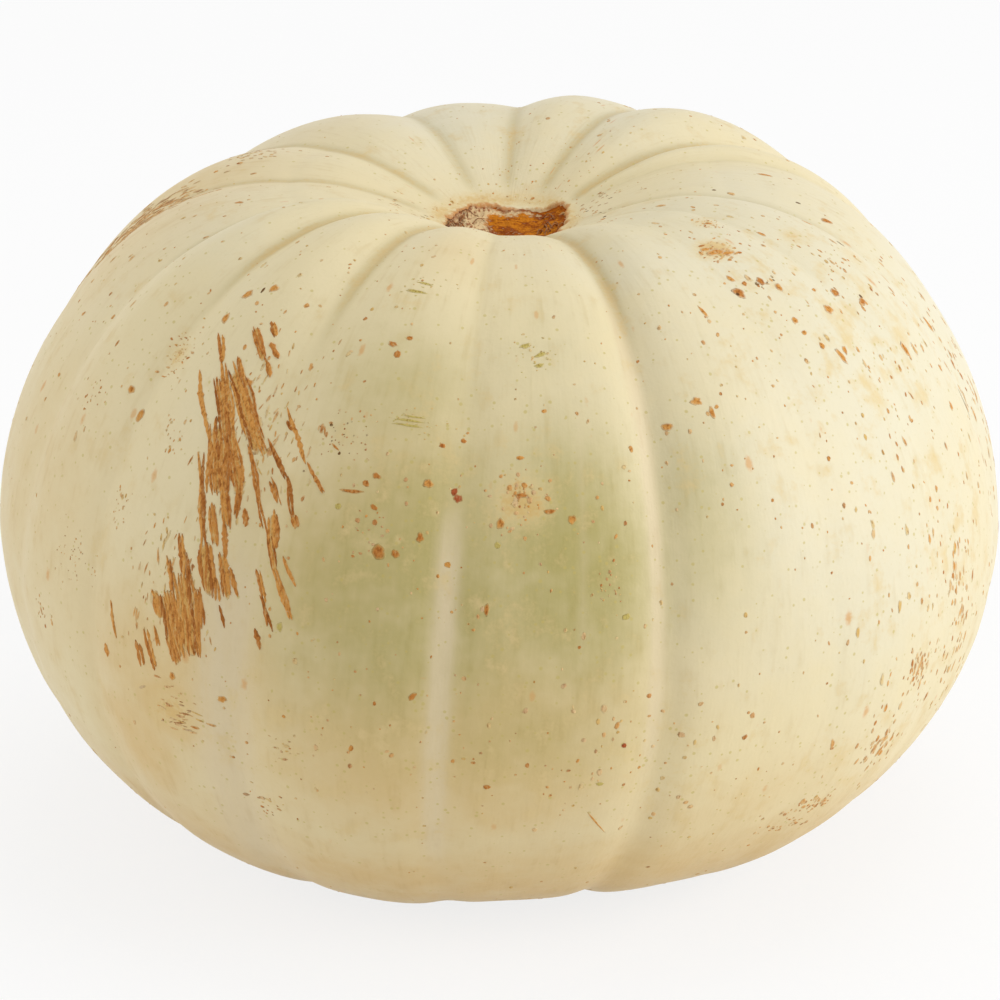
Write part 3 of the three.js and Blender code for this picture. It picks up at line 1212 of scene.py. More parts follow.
DARK_SPECKS = "CORK BROWN ORANGE DARK"
SPRINKLES = of_kind(
    Sprinkle,
    (60, 100, 24, 56, 150, 0.3, 1.0, 1.3), (60, 190, 16, 60, 170, 0.35, 1.0, 1.6),
    (30, 120, 18, 60, 120, 0.3, 0.8, 1.0), (-8, 145, 20, 34, 110, 0.3, 0.7, 1.0),
    (-10, 212, 24, 26, 120, 0.3, 0.9, 1.0), (16, 222, 14, 22, 80, 0.3, 1.0, 1.0),
    (-36, 110, 12, 40, 70, 0.3, 0.8, 1.2), (-80, 110, 26, 60, 110, 0.3, 0.9, 1.3),
    (-24, 50, 40, 30, 60, 0.25, 0.6, 1.0), (150, 85, 50, 50, 110, 0.3, 1.0, 1.0),
    (135, 190, 30, 60, 160, 0.35, 1.3, 1.4), (-150, 190, 30, 55, 150, 0.35, 1.1, 1.4),
    (0, 290, 300, 30, 150, 0.35, 0.9, 1.0), (44, 69, 3.2, 3.4, 60, 0.5, 1.5, 0.4, "ORANGE ORANGE CORK"),
    (53, 55.5, 2.8, 3.5, 36, 0.4, 1.2, 0.35, "TAN ORANGE CORK"),
    (53, 56, 2.0, 3.0, 8, 0.3, 0.8, 0.4, DARK_SPECKS), (46, 86, 2.4, 1.6, 18, 0.3, 0.8, 1.0, DARK_SPECKS),
    (66, 92, 2.2, 4, 16, 0.3, 0.9, 1.0), (1.5, 141, 2.2, 5.5, 50, 0.35, 1.1, 0.8),
    (-50, 117, 2.2, 6.0, 60, 0.35, 1.0, 0.35, "ORANGE CORK TAN"),
    (-37.3, 217, 2.6, 5.5, 42, 0.7, 2.1, 0.2, "CORK ORANGE TAN BROWN"),
    (-23.5, 221, 1.8, 3.5, 14, 0.4, 1.2, 0.4, "CORK TAN"),
    (-26, 243, 2.2, 3.5, 18, 0.4, 1.3, 0.5, "BROWN CORK TAN"),
    (-15, 155, 1.8, 5.0, 30, 0.3, 0.8, 0.8, "CORK ORANGE"),
    (11.5, 168, 1.0, 5.0, 22, 0.25, 0.5, 1.0, "CORK TAN"),
    (-55, 184, 2.8, 6.0, 46, 0.2, 0.45, 1.0, "CORK ORANGE BROWN"),
    (-49, 164, 1.6, 4.0, 18, 0.25, 0.5, 1.0, "CORK ORANGE"),
    (-61, 140, 2.0, 5.0, 20, 0.25, 0.6, 1.2, "CORK ORANGE"),
    (-43.5, 140, 1.8, 5.5, 22, 0.25, 0.6, 1.2, "TAN ORANGE"),
    (-62, 208, 2.0, 4.0, 16, 0.3, 0.7, 1.4, "CORK ORANGE"),
    (-21, 128, 2.4, 6, 44, 0.2, 0.42, 0.8, "CORK BROWN DARK"),
    (-14, 121, 4.5, 3, 30, 0.3, 0.5, 0.4, "TAN OLIVE"), (2.5, 99, 2.6, 5, 26, 0.3, 0.6, 0.7, "TAN OLIVE"),
    (-16, 77, 3.4, 3.5, 24, 0.3, 0.5, 0.5, "TAN OLIVE"),
    (-100, 104, 3.6, 17, 240, 0.4, 0.9, 3.2, "CORK ORANGE BROWN"),
    (-116, 68, 7, 7, 44, 0.35, 0.8, 2.0, "CORK ORANGE BROWN"),
    (54, 212, 2.4, 6, 46, 0.35, 0.9, 1.6, "CORK ORANGE"), (50, 236, 2.6, 5, 44, 0.35, 1.0, 1.5, "CORK ORANGE"),
    (43, 254, 3.2, 3.4, 48, 0.4, 1.1, 1.0, "CORK ORANGE"),
    (40, 262, 4, 2.4, 30, 0.35, 0.9, 0.8, "CORK ORANGE"), (64, 200, 4, 26, 60, 0.35, 0.75, 2.2, "CORK ORANGE"),
    (84, 150, 5, 26, 70, 0.35, 0.9, 2.2, "CORK ORANGE"),
    (160, 172, 6, 24, 200, 0.4, 0.9, 3.2, "CORK ORANGE BROWN"),
    (-160, 128, 4, 16, 90, 0.4, 0.8, 3.0, "CORK ORANGE"), (92, 11, 22, 8, 36, 0.14, 0.3, 3.5, DARK_SPECKS),
    (-86, 10, 20, 8, 28, 0.14, 0.3, 3.5, DARK_SPECKS), (150, 16, 50, 14, 70, 0.2, 0.45, 1.0, "TAN ORANGE"),
    (0, 2, 300, 2.2, 90, 0.2, 0.6, 1.0, "ORANGE CORK TAN"),
)
PATCH_DASHES = of_kind(
    Sprinkle,
    (-32, 134, 4.2, 22, 100, 0.22, 0.5, 3.6, "ORANGE CORK TAN"),
    (-38.5, 180, 5, 14, 80, 0.22, 0.5, 3.4, "ORANGE CORK TAN"),
)


@dataclass
class Blemishes:
    """Raised corky tissue on the rind: the patch of streaks, single marks and strewn specks."""

    skin: Skin
    strand_width: float = 0.5
    patch_aside: float = 0.7
    station_gap: float = 0.7
    spread: float = 0.7
    bed_height: float = 0.06
    spot_height: float = 0.05
    speck_height: float = 0.03
    seed: int = 23

    def build(self, finish: "BlemishFinish") -> list[Piece]:
        """All the blemishes.

        Args:
            finish: what they are dressed in.

        Returns:
            The patch and the rest, as two objects.
        """
        draw = random.Random(self.seed)
        patch = Relief("corky_patch", self.skin)
        for mark in CORKY_STREAKS:
            self.streak(patch, mark, draw)
        for sprinkle in PATCH_DASHES:
            self.strew(patch, sprinkle, draw)
        rest = Relief("rind_specks", self.skin)
        for marks, tone, sunk in (
            (OLIVE_MARKS, Tone.OLIVE, 0.0),
            (ORANGE_MARKS, Tone.ORANGE, 0.7),
            (BROWN_MARKS, Tone.CORK, 0.3),
            (RED_MARKS, Tone.RED, 0.0),
            (DARK_MARKS, Tone.DARK, 0.0),
        ):
            for mark in marks:
                self.spot(rest, mark, tone, sunk, draw)
        for sprinkle in SPRINKLES:
            self.strew(rest, sprinkle, draw)
        material = finish.material()
        return [relief.build(material) for relief in (patch, rest)]

    def streak(self, relief: "Relief", mark: Mark, draw: random.Random) -> None:
        """A streak of the patch, as a bundle of thin strands side by side.

        Args:
            relief: where they are collected.
            mark: the streak, across in mm.
            draw: the random numbers.
        """
        many = max(1, round(mark.width / self.strand_width))
        lean = math.radians(mark.lean)
        if many > 2:
            self.bed(relief, mark, draw)
        for number in range(many):
            aside = ((number + 0.5) / many * 2 - 1) * (1 - 0.5 / many) if many > 1 else 0.0
            half = mark.length * math.sqrt(1 - 0.85 * aside * aside) * draw.uniform(0.78, 1.08)
            slide = mark.length * draw.uniform(-0.12, 0.12) if many > 1 else 0.0
            width = mark.width / many * draw.uniform(0.9, 1.5)
            share = np.linspace(-1, 1, max(7, round(2 * half / self.station_gap)))
            phase = draw.uniform(0, 100)
            wander = np.array([roughened((phase, t * half * 0.12, 0.0), 1.0) for t in share]) * 0.9
            beads = np.array([roughened((phase, t * half * 0.9, 5.0), 1.0, 2) for t in share])
            down = slide + share * half
            sine, cosine = math.sin(lean), math.cos(lean)
            across = mark.across + self.patch_aside + aside * mark.width * cosine + down * sine + wander
            drops = mark.down - aside * mark.width * sine + down * cosine
            thick = width * (1 - share**2) ** 0.55 * (1 + 0.7 * beads) + 0.04
            tone = between(Tone.ORANGE, Tone.CORK, draw.uniform(-0.2, 1.1))
            if draw.random() < 0.3:
                tone = between(Tone.CORK, Tone.BROWN, draw.uniform(0.0, 0.9))
            relief.ribbon(across, drops, thick, draw.uniform(0.1, 0.24) * (1 + beads), lean, tone)

    def bed(self, relief: "Relief", mark: Mark, draw: random.Random) -> None:
        """The flat scab that a broad streak's strands lie on.

        Args:
            relief: where it is collected.
            mark: the streak, across in mm.
            draw: the random numbers.
        """
        sine, cosine = math.sin(math.radians(mark.lean)), math.cos(math.radians(mark.lean))
        for share in (-0.6, -0.3, 0.0, 0.3, 0.6):
            down = mark.down + share * mark.length * cosine
            across = np.array([mark.across + self.patch_aside + share * mark.length * sine])
            azimuth = float(self.skin.azimuth_at(across, np.array([down]))[0])
            width = 0.75 * mark.width * math.sqrt(1 - share * share)
            part = Mark(azimuth, down, width, 0.35 * mark.length, mark.lean)
            facing = self.per_degree(down) * math.cos(math.radians(azimuth))
            relief.button(part, facing, between(Tone.ORANGE, Tone.TAN, 0.6), 0.0, self.bed_height, draw)

    def per_degree(self, drop: float) -> float:
        """How many mm a degree of azimuth is at a drop."""
        table = self.skin.form.meridian.table()
        return math.radians(np.interp(drop * MM, table[:, 5], table[:, 1]) / MM)

    def spot(self, relief: "Relief", mark: Mark, tone: Tone, sunk: float, draw: random.Random) -> None:
        """A round or oval mark with a ragged edge.

        Args:
            relief: where it is collected.
            mark: the mark, across in degrees.
            tone: its colour.
            sunk: how far its middle is sunk, from 0 to 1.
            draw: the random numbers.
        """
        relief.button(mark, self.per_degree(mark.down), tone.value, sunk, self.spot_height, draw)

    def strew(self, relief: "Relief", sprinkle: Sprinkle, draw: random.Random) -> None:
        """Specks or flecks strewn over a zone.

        Args:
            relief: where they are collected.
            sprinkle: what is strewn.
            draw: the random numbers.
        """
        tones = [Tone[name] for name in sprinkle.tones.split()]
        for _ in range(sprinkle.count):
            azimuth = sprinkle.azimuth + draw.gauss(0, self.spread) * sprinkle.width
            drop = max(0.4, sprinkle.drop + draw.gauss(0, self.spread) * sprinkle.length)
            azimuth = (azimuth + 160) % 360 - 160
            size = sprinkle.smallest + (sprinkle.biggest - sprinkle.smallest) * draw.random() ** 2.5
            length = size * sprinkle.stretch * draw.uniform(0.7, 1.6)
            mark = Mark(azimuth, drop, size, max(length, 0.2), draw.gauss(0, 12))
            tone = between(draw.choice(tones), Tone.CREAM, draw.uniform(0.0, 0.6))
            relief.button(mark, self.per_degree(drop), tone, draw.choice((0.0, 0.0, 0.8)), self.speck_height, draw)


# For marks smaller than so many mm: points in a ring, the rings' places, and how far the edge blends into the rind.
BUTTON_DETAIL = (
    (0.5, 6, (0.55, 1.0), 0.85),
    (1.3, 7, (0.3, 0.72, 1.0), 0.85),
    (math.inf, 16, (0.2, 0.5, 0.8, 1.0), 1.0),
)


class Relief:
    """Collects small closed bodies that lie on the rind, and makes one mesh of them. Its heights are in mm."""

    buried = -0.3
    root = -0.4
    sunk_edge = -0.07
    rest = 0.05

    def __init__(self, name: str, skin: Skin) -> None:
        """Starts an empty collection.

        Args:
            name: the name of the piece that it becomes.
            skin: the rind that its bodies lie on.
        """
        self.name = name
        self.skin = skin
        self.spots: list[Array] = []
        self.faces: list[list[int]] = []
        self.count = 0

    def take(self, azimuths: Array, drops: Array, lifts: Array, edges: Array, tone: Colour) -> int:
        """Keeps points, and returns the number of the first.

        Args:
            azimuths: their azimuths.
            drops: their drops in mm.
            lifts: how far above the rind they are, in mm.
            edges: 0 in the middle of a body and 1 at its edge.
            tone: their colour.

        Returns:
            The first point's number.
        """
        tones = np.broadcast_to(tone, (azimuths.size, 3))
        plain = [np.ravel(part) for part in (azimuths, drops, lifts, edges)]
        self.spots.append(np.column_stack([*plain, tones]))
        first = self.count
        self.count += azimuths.size
        return first

    def ribbon(
        self, across: Array, drops: Array, widths: Array, heights: Array, lean: float, tone: Colour
    ) -> None:
        """A thin strand that tapers to both ends.

        Args:
            across: how far towards +X its middle line is, in mm.
            drops: drops of its middle line in mm.
            widths: half its width at each point.
            heights: how high it stands at each point.
            lean: how far it leans, in radians.
            tone: its colour.
        """
        sides = np.array([-1.0, -0.6, 0.0, 0.6, 1.0, 0.0])
        rise = np.array([0.0, 0.75, 1.0, 0.75, 0.0, 0.0])
        base = np.array([self.sunk_edge, 0.03, 0.06, 0.03, self.sunk_edge, self.root])
        x = across[:, None] + widths[:, None] * sides * math.cos(lean)
        y = drops[:, None] - widths[:, None] * sides * math.sin(lean)
        lifts = base + heights[:, None] * rise
        edges = 0.88 * np.broadcast_to(np.abs(sides), x.shape)
        start = self.take(self.skin.azimuth_at(x, y), y, lifts, edges, tone)
        around = len(sides)
        self.faces.append([start + side for side in range(around)])
        self.faces.extend(between_rings(start, len(across), around))
        last = start + (len(across) - 1) * around
        self.faces.append([last + side for side in reversed(range(around))])

    def button(
        self, mark: Mark, per_degree: float, tone: Colour, sunk: float, height: float, draw: random.Random
    ) -> None:
        """A low lens or a ring on the rind.

        Args:
            mark: where it is and how big, across in degrees.
            per_degree: how many mm a degree is there.
            tone: its colour.
            sunk: how far its middle is sunk, from 0 to 1.
            height: how high it stands, in mm.
            draw: the random numbers.
        """
        size = max(mark.width, mark.length)
        around, steps, edge = next(detail for limit, *detail in BUTTON_DETAIL if size < limit)
        turn = np.linspace(0, 2 * math.pi, around, endpoint=False)
        ragged = 1 + sum(
            draw.uniform(0.03, 0.14) * np.sin(waves * turn + draw.uniform(0, 6.3)) for waves in (2, 3, 5)
        )
        rings = np.array(steps)[:, None]
        u = rings * ragged * mark.width * np.cos(turn)
        v = rings * ragged * mark.length * np.sin(turn)
        lean = math.radians(mark.lean)
        azimuths = mark.across + (u * math.cos(lean) + v * math.sin(lean)) / per_degree
        drops = mark.down - u * math.sin(lean) + v * math.cos(lean)
        rise = (1 - sunk * np.exp(-((rings / 0.5) ** 2))) * (1 - rings**3)
        lifts = np.broadcast_to(self.rest + height * rise + self.sunk_edge * (rings == 1.0), u.shape)
        start = self.take(azimuths, drops, lifts, np.broadcast_to(edge * rings, u.shape), tone)
        middle = (np.array([value]) for value in (mark.across, mark.down, self.root, 1.0))
        under = self.take(*middle, tone)
        self.faces.append([start + side for side in range(around)])
        self.faces.extend(between_rings(start, len(rings), around))
        rim = start + (len(rings) - 1) * around
        for side in range(around):
            self.faces.append([rim + (side + 1) % around, rim + side, under])

    def build(self, material: bpy.types.Material) -> Piece:
        """The mesh of all that was collected.

        Args:
            material: what it is dressed in.

        Returns:
            The object.
        """
        azimuths, drops, lifts, edges, *tones = np.concatenate(self.spots).T
        made = as_object(self.name, self.skin.on_rind(azimuths, drops, lifts), self.faces)
        bodies = bmesh.new()
        bodies.from_mesh(made.data)
        bmesh.ops.recalc_face_normals(bodies, faces=bodies.faces)
        bodies.to_mesh(made.data)
        bodies.free()
        deep = set(np.flatnonzero(lifts < self.buried).tolist())
        for side in made.data.polygons:
            side.use_smooth = deep.isdisjoint(side.vertices)
        store(made, "edge", edges)
        store(made, "tone", np.column_stack(tones))
        store(made, "ground", self.skin.ground_tone(azimuths, drops))
        dress_in_cork(made, material)
        return made

# ---- Shader arithmetic ----


class Wire:
    """What comes out of a node. Arithmetic on numbers adds Math nodes."""

    def __init__(self, sheet: "NodeSheet", socket: bpy.types.NodeSocket) -> None:
        """Keeps the sheet of nodes and the socket."""
        self.sheet = sheet
        self.socket = socket

    def math(self, operation: str, *others: "Number") -> "Wire":
        """A Math node on this number and others."""
        return self.sheet.node("ShaderNodeMath", {"operation": operation}, dict(enumerate((self, *others))))

    def __add__(self, other: "Number") -> "Wire":
        """The sum."""
        return self.math("ADD", other)

    __radd__ = __add__

    def __sub__(self, other: "Number") -> "Wire":
        """The difference."""
        return self.math("SUBTRACT", other)

    def __rsub__(self, other: float) -> "Wire":
        """The difference from a plain number."""
        return self.sheet.node("ShaderNodeMath", {"operation": "SUBTRACT"}, {0: other, 1: self})

    def __mul__(self, other: "Number") -> "Wire":
        """The product."""
        return self.math("MULTIPLY", other)

    __rmul__ = __mul__

    def most(self, other: "Number") -> "Wire":
        """The bigger of the two."""
        return self.math("MAXIMUM", other)

    def below(self, other: "Number") -> "Wire":
        """1 where it is less than the other, and 0 elsewhere."""
        return self.math("LESS_THAN", other)

    def rise(self, low: float, high: float) -> "Wire":
        """From 0 at low to 1 at high, with soft ends."""
        settings = {"interpolation_type": "SMOOTHSTEP"}
        return self.sheet.node("ShaderNodeMapRange", settings, {"Value": self, "From Min": low, "From Max": high})

    def fall(self, low: float, high: float) -> "Wire":
        """From 1 at low to 0 at high, with soft ends."""
        return 1.0 - self.rise(low, high)


Number = Union[Wire, float]


class NodeSheet:
    """The nodes of one material or world."""

    def __init__(self, tree: bpy.types.NodeTree) -> None:
        """Keeps the node tree."""
        self.tree = tree

    def node(
        self,
        kind: str,
        settings: Optional[Mapping[str, object]] = None,
        inputs: Optional[Mapping[Union[int, str], object]] = None,
        output: Union[int, str] = 0,
    ) -> Wire:
        """Adds a node.

        Args:
            kind: the node's type.
            settings: its properties, set first.
            inputs: values or wires for its sockets, by number or name.
            output: which of its outputs is wanted.

        Returns:
            The wire from that output.
        """
        made = self.tree.nodes.new(kind)
        for name, value in (settings or {}).items():
            setattr(made, name, value)
        for key, value in (inputs or {}).items():
            self.feed(self.find(made.inputs, key), value)
        return Wire(self, self.find(made.outputs, output))

    def feed(self, socket: bpy.types.NodeSocket, value: object) -> None:
        """Links a wire to a socket, or sets the socket to a value or a tone.

        Args:
            socket: the socket.
            value: what it gets.
        """
        value = value.value if isinstance(value, Tone) else value
        if isinstance(value, Wire):
            self.tree.links.new(value.socket, socket)
        elif socket.type == "RGBA":
            socket.default_value = (*value, 1.0)
        else:
            socket.default_value = value

    @staticmethod
    def find(sockets: bpy.types.bpy_prop_collection, key: Union[int, str]) -> bpy.types.NodeSocket:
        """A socket by its number, identifier or name."""
        if isinstance(key, int):
            return sockets[key]
        return next(socket for socket in sockets if key in (socket.identifier, socket.name))

    def blend(self, under: Union[Wire, Tone], over: Union[Wire, Tone], share: Number) -> Wire:
        """One colour over another.

        Args:
            under: the colour where share is 0.
            over: the colour where share is 1.
            share: how much of the upper colour shows.

        Returns:
            The blend.
        """
        inputs = {"Factor_Float": share, "A_Color": under, "B_Color": over}
        return self.node("ShaderNodeMix", {"data_type": "RGBA"}, inputs, "Result_Color")

    def tinted(self, colour: Wire, tone: Tone, share: Number) -> Wire:
        """The colour multiplied by a tone, as much as share says."""
        inputs = {"Factor_Float": share, "A_Color": colour, "B_Color": tone}
        return self.node("ShaderNodeMix", {"data_type": "RGBA", "blend_type": "MULTIPLY"}, inputs, "Result_Color")

    def attribute(self, name: str, output: str = "Fac") -> Wire:
        """Something stored on the mesh."""
        return self.node("ShaderNodeAttribute", {"attribute_name": name}, output=output)

    def position(self) -> Wire:
        """Where a point of the object is, in mm."""
        place = self.node("ShaderNodeTexCoord", output="Object")
        return self.vector("SCALE", place, Scale=1 / MM)

    def vector(self, operation: str, *terms: object, **named: object) -> Wire:
        """A Vector Math node.

        Args:
            operation: what it does.
            *terms: its vectors in order.
            **named: other sockets by name.

        Returns:
            Its result.
        """
        output = "Value" if operation in ("LENGTH", "DOT_PRODUCT") else "Vector"
        inputs = {**dict(enumerate(terms)), **named}
        return self.node("ShaderNodeVectorMath", {"operation": operation}, inputs, output)

    def noise(self, place: Wire, size: float, detail: float = 2.0, roughness: float = 0.5) -> Wire:
        """Cloudy noise from about -0.5 to 0.5.

        Args:
            place: where, in mm.
            size: the size of its clouds in mm.
            detail: how many finer layers it has.
            roughness: how strong those are.

        Returns:
            The noise.
        """
        inputs = {"Vector": place, "Scale": 1 / size, "Detail": detail, "Roughness": roughness}
        return self.node("ShaderNodeTexNoise", None, inputs) - 0.5

    def dots(self, place: Wire, spacing: float, radius: float, density: Number) -> tuple[Wire, Wire]:
        """Round dots strewn over the surface, of different sizes.

        Args:
            place: where, in mm.
            spacing: how far apart they may be.
            radius: the biggest dot's radius in mm.
            density: which share of the possible dots is there.

        Returns:
            How far inside a dot each point is, from 0 at its edge to 1 in its middle, and a random number a dot.
        """
        inputs = {"Vector": place, "Scale": 1 / spacing, "Randomness": 1.0}
        cells = self.node("ShaderNodeTexVoronoi", None, inputs, "Distance")
        draw = Wire(self, self.find(cells.socket.node.outputs, "Color"))
        pick = self.node("ShaderNodeSeparateXYZ", None, {"Vector": draw}, "X")
        size = Wire(self, self.find(pick.socket.node.outputs, "Y"))
        reach = (size * 0.65 + 0.35) * (radius / spacing)
        inner = (1.0 - cells.math("DIVIDE", reach)).most(0.0)
        return inner * pick.below(density), size


class Material:
    """A new material with its sheet of nodes and its surface shader."""

    def __init__(self, name: str) -> None:
        """Makes the material.

        Args:
            name: its name.
        """
        self.made = bpy.data.materials.new(name)
        self.made.use_nodes = True
        self.sheet = NodeSheet(self.made.node_tree)
        self.shader = self.made.node_tree.nodes["Principled BSDF"]

    def set(self, values: Mapping[str, object]) -> None:
        """Sets sockets of the shader by their names."""
        for name, value in values.items():
            self.sheet.feed(self.shader.inputs[name], value)

    def bump(self, height: Wire) -> None:
        """Raises the surface by a height in mm."""
        inputs = {"Height": height, "Distance": MM, "Strength": 1.0}
        normal = self.sheet.node("ShaderNodeBump", None, inputs, "Normal")
        self.sheet.feed(self.shader.inputs["Normal"], normal)

# ---- Finishes ----


@dataclass(frozen=True)
class RindFinish:
    """The waxy cream rind, with its casts of colour, stains and fine speckles."""

    roughness: float = 0.46
    sheen: float = 0.3

    def material(self) -> bpy.types.Material:
        """Makes the finish.

        Returns:
            The material.
        """
        made = Material("pumpkin_rind")
        sheet = made.sheet
        place = sheet.position()
        grain = sheet.attribute("grain", "Vector")
        fine = sheet.noise(place, 1.1, 1.0, 0.6)
        clouds = sheet.noise(place, 9.0, 2.0, 0.6)
        lines = sheet.noise(sheet.vector("MULTIPLY", grain, (1.0, 1.0, 0.12)), 2.2, 2.0, 0.6)
        colour = self.ground(sheet, place, clouds, lines)
        colour = self.stains(sheet, colour, fine, clouds)
        colour = self.speckles(sheet, colour, place, grain, fine)
        waves = sheet.noise(place, 6.0, 0.0, 0.5)
        roughness = self.roughness + 0.12 * clouds + 0.1 * fine
        made.set({"Base Color": colour, "Roughness": roughness, "Specular IOR Level": self.sheen})
        made.bump(0.05 * fine + 0.16 * waves + 0.1 * lines)
        return made.made

    def ground(self, sheet: NodeSheet, place: Wire, clouds: Wire, lines: Wire) -> Wire:
        """The rind's colour without marks, with painted shade in the creases of the crown and on the back-left
        flank, and a painted highlight along one rib.

        Args:
            sheet: the material's nodes.
            place: where, in mm.
            clouds: noise of middling size.
            lines: noise drawn out along the ribs.

        Returns:
            The colour.
        """
        drift = sheet.noise(place, 55.0, 1.0, 0.5)
        pale = sheet.attribute("paleness") + 1.2 * drift + 0.5 * clouds
        colour = sheet.blend(Tone.CREAM, Tone.IVORY, pale.rise(0.0, 1.0))
        unsteady = 1.0 + 0.8 * clouds + 0.8 * drift
        # Partly painted shade: the warm cast also darkens the back-left flank.
        warm = sheet.attribute("warm_cast_and_shade") * unsteady
        colour = sheet.blend(colour, Tone.WARM, warm.rise(0.0, FULL_WARM))
        green = sheet.attribute("green_cast") * (unsteady + 0.3 * lines)
        colour = sheet.blend(colour, Tone.GREEN, green.rise(0.0, FULL_GREEN))
        # Partly painted highlight: one band stands for the lit edge of a rib.
        pale = sheet.attribute("pale_band_and_highlight") * (1.0 + 0.8 * lines)
        colour = sheet.blend(colour, Tone.PALE, pale.rise(0.0, 1.0))
        # Painted shade: the creases of the crown are darkened where shade falls between the ribs.
        colour = sheet.tinted(colour, Tone.CREASE_SHADE, sheet.attribute("crease").rise(0.0, 1.0))
        return sheet.tinted(colour, Tone.STREAK_SHADE, (lines + clouds).rise(0.0, 0.5) * 0.34)

    def stains(self, sheet: NodeSheet, colour: Wire, fine: Wire, clouds: Wire) -> Wire:
        """Soft tan stains around the blemishes, and dirt in the creases of the crown.

        Args:
            sheet: the material's nodes.
            colour: the colour under them.
            fine: fine noise.
            clouds: noise of middling size.

        Returns:
            The colour with them.
        """
        patchy = 0.9 * clouds + 0.6 * fine
        freckled = 0.5 * sheet.attribute("spotting") + 2.0 * clouds
        stain = (sheet.attribute("stain").most(freckled) + patchy).rise(0.3, 1.2)
        colour = sheet.blend(colour, Tone.FLESH, stain * 0.75)
        deep = (sheet.attribute("stain") + 1.3 * patchy).rise(0.85, 1.4)
        colour = sheet.blend(colour, Tone.TAN, deep * 0.6)
        crease = (sheet.attribute("crease") + patchy).rise(0.45, 1.3)
        colour = sheet.blend(colour, Tone.TAN, crease * 0.5)
        torn_edge = (sheet.attribute("scar_edge") + 1.4 * patchy).rise(0.5, 1.1)
        return sheet.blend(colour, Tone.CORK, torn_edge * 0.85)

    def speckles(self, sheet: NodeSheet, colour: Wire, place: Wire, grain: Wire, fine: Wire) -> Wire:
        """Tiny dots all over the rind.

        Args:
            sheet: the material's nodes.
            colour: the colour under them.
            place: where, in mm.
            grain: where, along the ribs.
            fine: fine noise.

        Returns:
            The colour with them.
        """
        thick = sheet.attribute("spotting")
        tiny, _ = sheet.dots(place, 2.2, 0.7, 0.25 + 0.5 * thick)
        flecks = sheet.vector("MULTIPLY", grain, (1.0, 1.0, 0.45))
        small, draw = sheet.dots(flecks, 6.5, 1.5, 0.12 + 0.5 * thick)
        colour = sheet.blend(colour, Tone.OLIVE, (tiny + 0.4 * fine).rise(0.0, 0.5) * 0.6)
        return sheet.blend(colour, Tone.ORANGE, (small + 0.5 * fine).rise(0.1, 0.7) * (0.15 + 0.5 * draw))


@dataclass(frozen=True)
class BlemishFinish:
    """Dry corky tissue, in the colour stored on each blemish."""

    name: str = "blemish_cork"
    roughness: float = 0.8
    sheen: float = 0.15

    def material(self) -> bpy.types.Material:
        """Makes the finish.

        Returns:
            The material.
        """
        made = Material(self.name)
        sheet = made.sheet
        place = sheet.position()
        grains = sheet.noise(place, 0.7, 2.0, 0.7)
        threads = sheet.noise(sheet.vector("MULTIPLY", place, (1.0, 1.0, 0.2)), 0.8, 1.0, 0.6)
        colour = sheet.attribute("tone", "Vector")
        woody = 0.6 * grains + 1.3 * threads
        colour = sheet.tinted(colour, Tone.WOOD_SHADE, woody.rise(-0.03, 0.28) * 0.85)
        colour = sheet.blend(colour, Tone.FLESH, woody.fall(-0.42, -0.06) * 0.42)
        edge = (sheet.attribute("edge") + 0.5 * grains).rise(0.5, 1.1)
        colour = sheet.blend(colour, sheet.attribute("ground", "Vector"), edge * 0.85)
        roughness = self.roughness + 0.2 * grains
        made.set({"Base Color": colour, "Roughness": roughness, "Specular IOR Level": self.sheen})
        made.bump(0.35 * grains + 0.25 * threads)
        return made.made


@dataclass(frozen=True)
class CorkFinish:
    """Dry torn cork: golden brown and grainy, with pale torn tissue, and dark edges that are partly painted shade
    where the cork drops away.
    """

    name: str = "scar_cork"
    roughness: float = 0.82
    sheen: float = 0.1

    def material(self) -> bpy.types.Material:
        """Makes the finish.

        Returns:
            The material.
        """
        known = bpy.data.materials.get(self.name)
        if known:
            return known
        made = Material(self.name)
        sheet = made.sheet
        place = sheet.position()
        drawn = sheet.vector("MULTIPLY", place, (0.55, 1.0, 1.0))
        clouds = sheet.noise(place, 5.0, 2.0, 0.6)
        grains = sheet.noise(drawn, 1.0, 3.0, 0.7)
        threads = sheet.noise(sheet.vector("MULTIPLY", place, (1.0, 0.25, 1.0)), 0.9, 2.0, 0.6)
        torn = sheet.attribute("torn")
        inside = sheet.attribute("inside")
        dark = (0.5 + 2.8 * clouds + 2.8 * grains).rise(0.1, 1.0)
        colour = sheet.blend(Tone.SCAR_GOLD, Tone.SCAR_BROWN, dark)
        pale = (torn + 1.2 * clouds + 1.6 * grains).rise(0.2, 0.65)
        colour = sheet.blend(colour, Tone.SCAR_PALE, pale * 0.9)
        veins = (torn * 0.14 + threads + 0.6 * clouds).rise(0.14, 0.32)
        colour = sheet.blend(colour, Tone.SCAR_BROWN, veins * 0.85)
        pits = (grains + 0.4 * threads).rise(0.16, 0.36)
        colour = sheet.blend(colour, Tone.STRAND, pits * 0.7)
        # Painted shade: a dark band along the edge where the cork drops away, together with the darker torn edge.
        rim = (inside + 4.0 * clouds + 3.0 * grains).fall(0.2, 2.2)
        colour = sheet.blend(colour, Tone.SCAR_BROWN, rim * 0.8)
        roughness = self.roughness + 0.3 * grains
        made.set({"Base Color": colour, "Roughness": roughness, "Specular IOR Level": self.sheen})
        made.bump(0.8 * grains + 0.5 * threads + 0.25 * clouds)
        return made.made


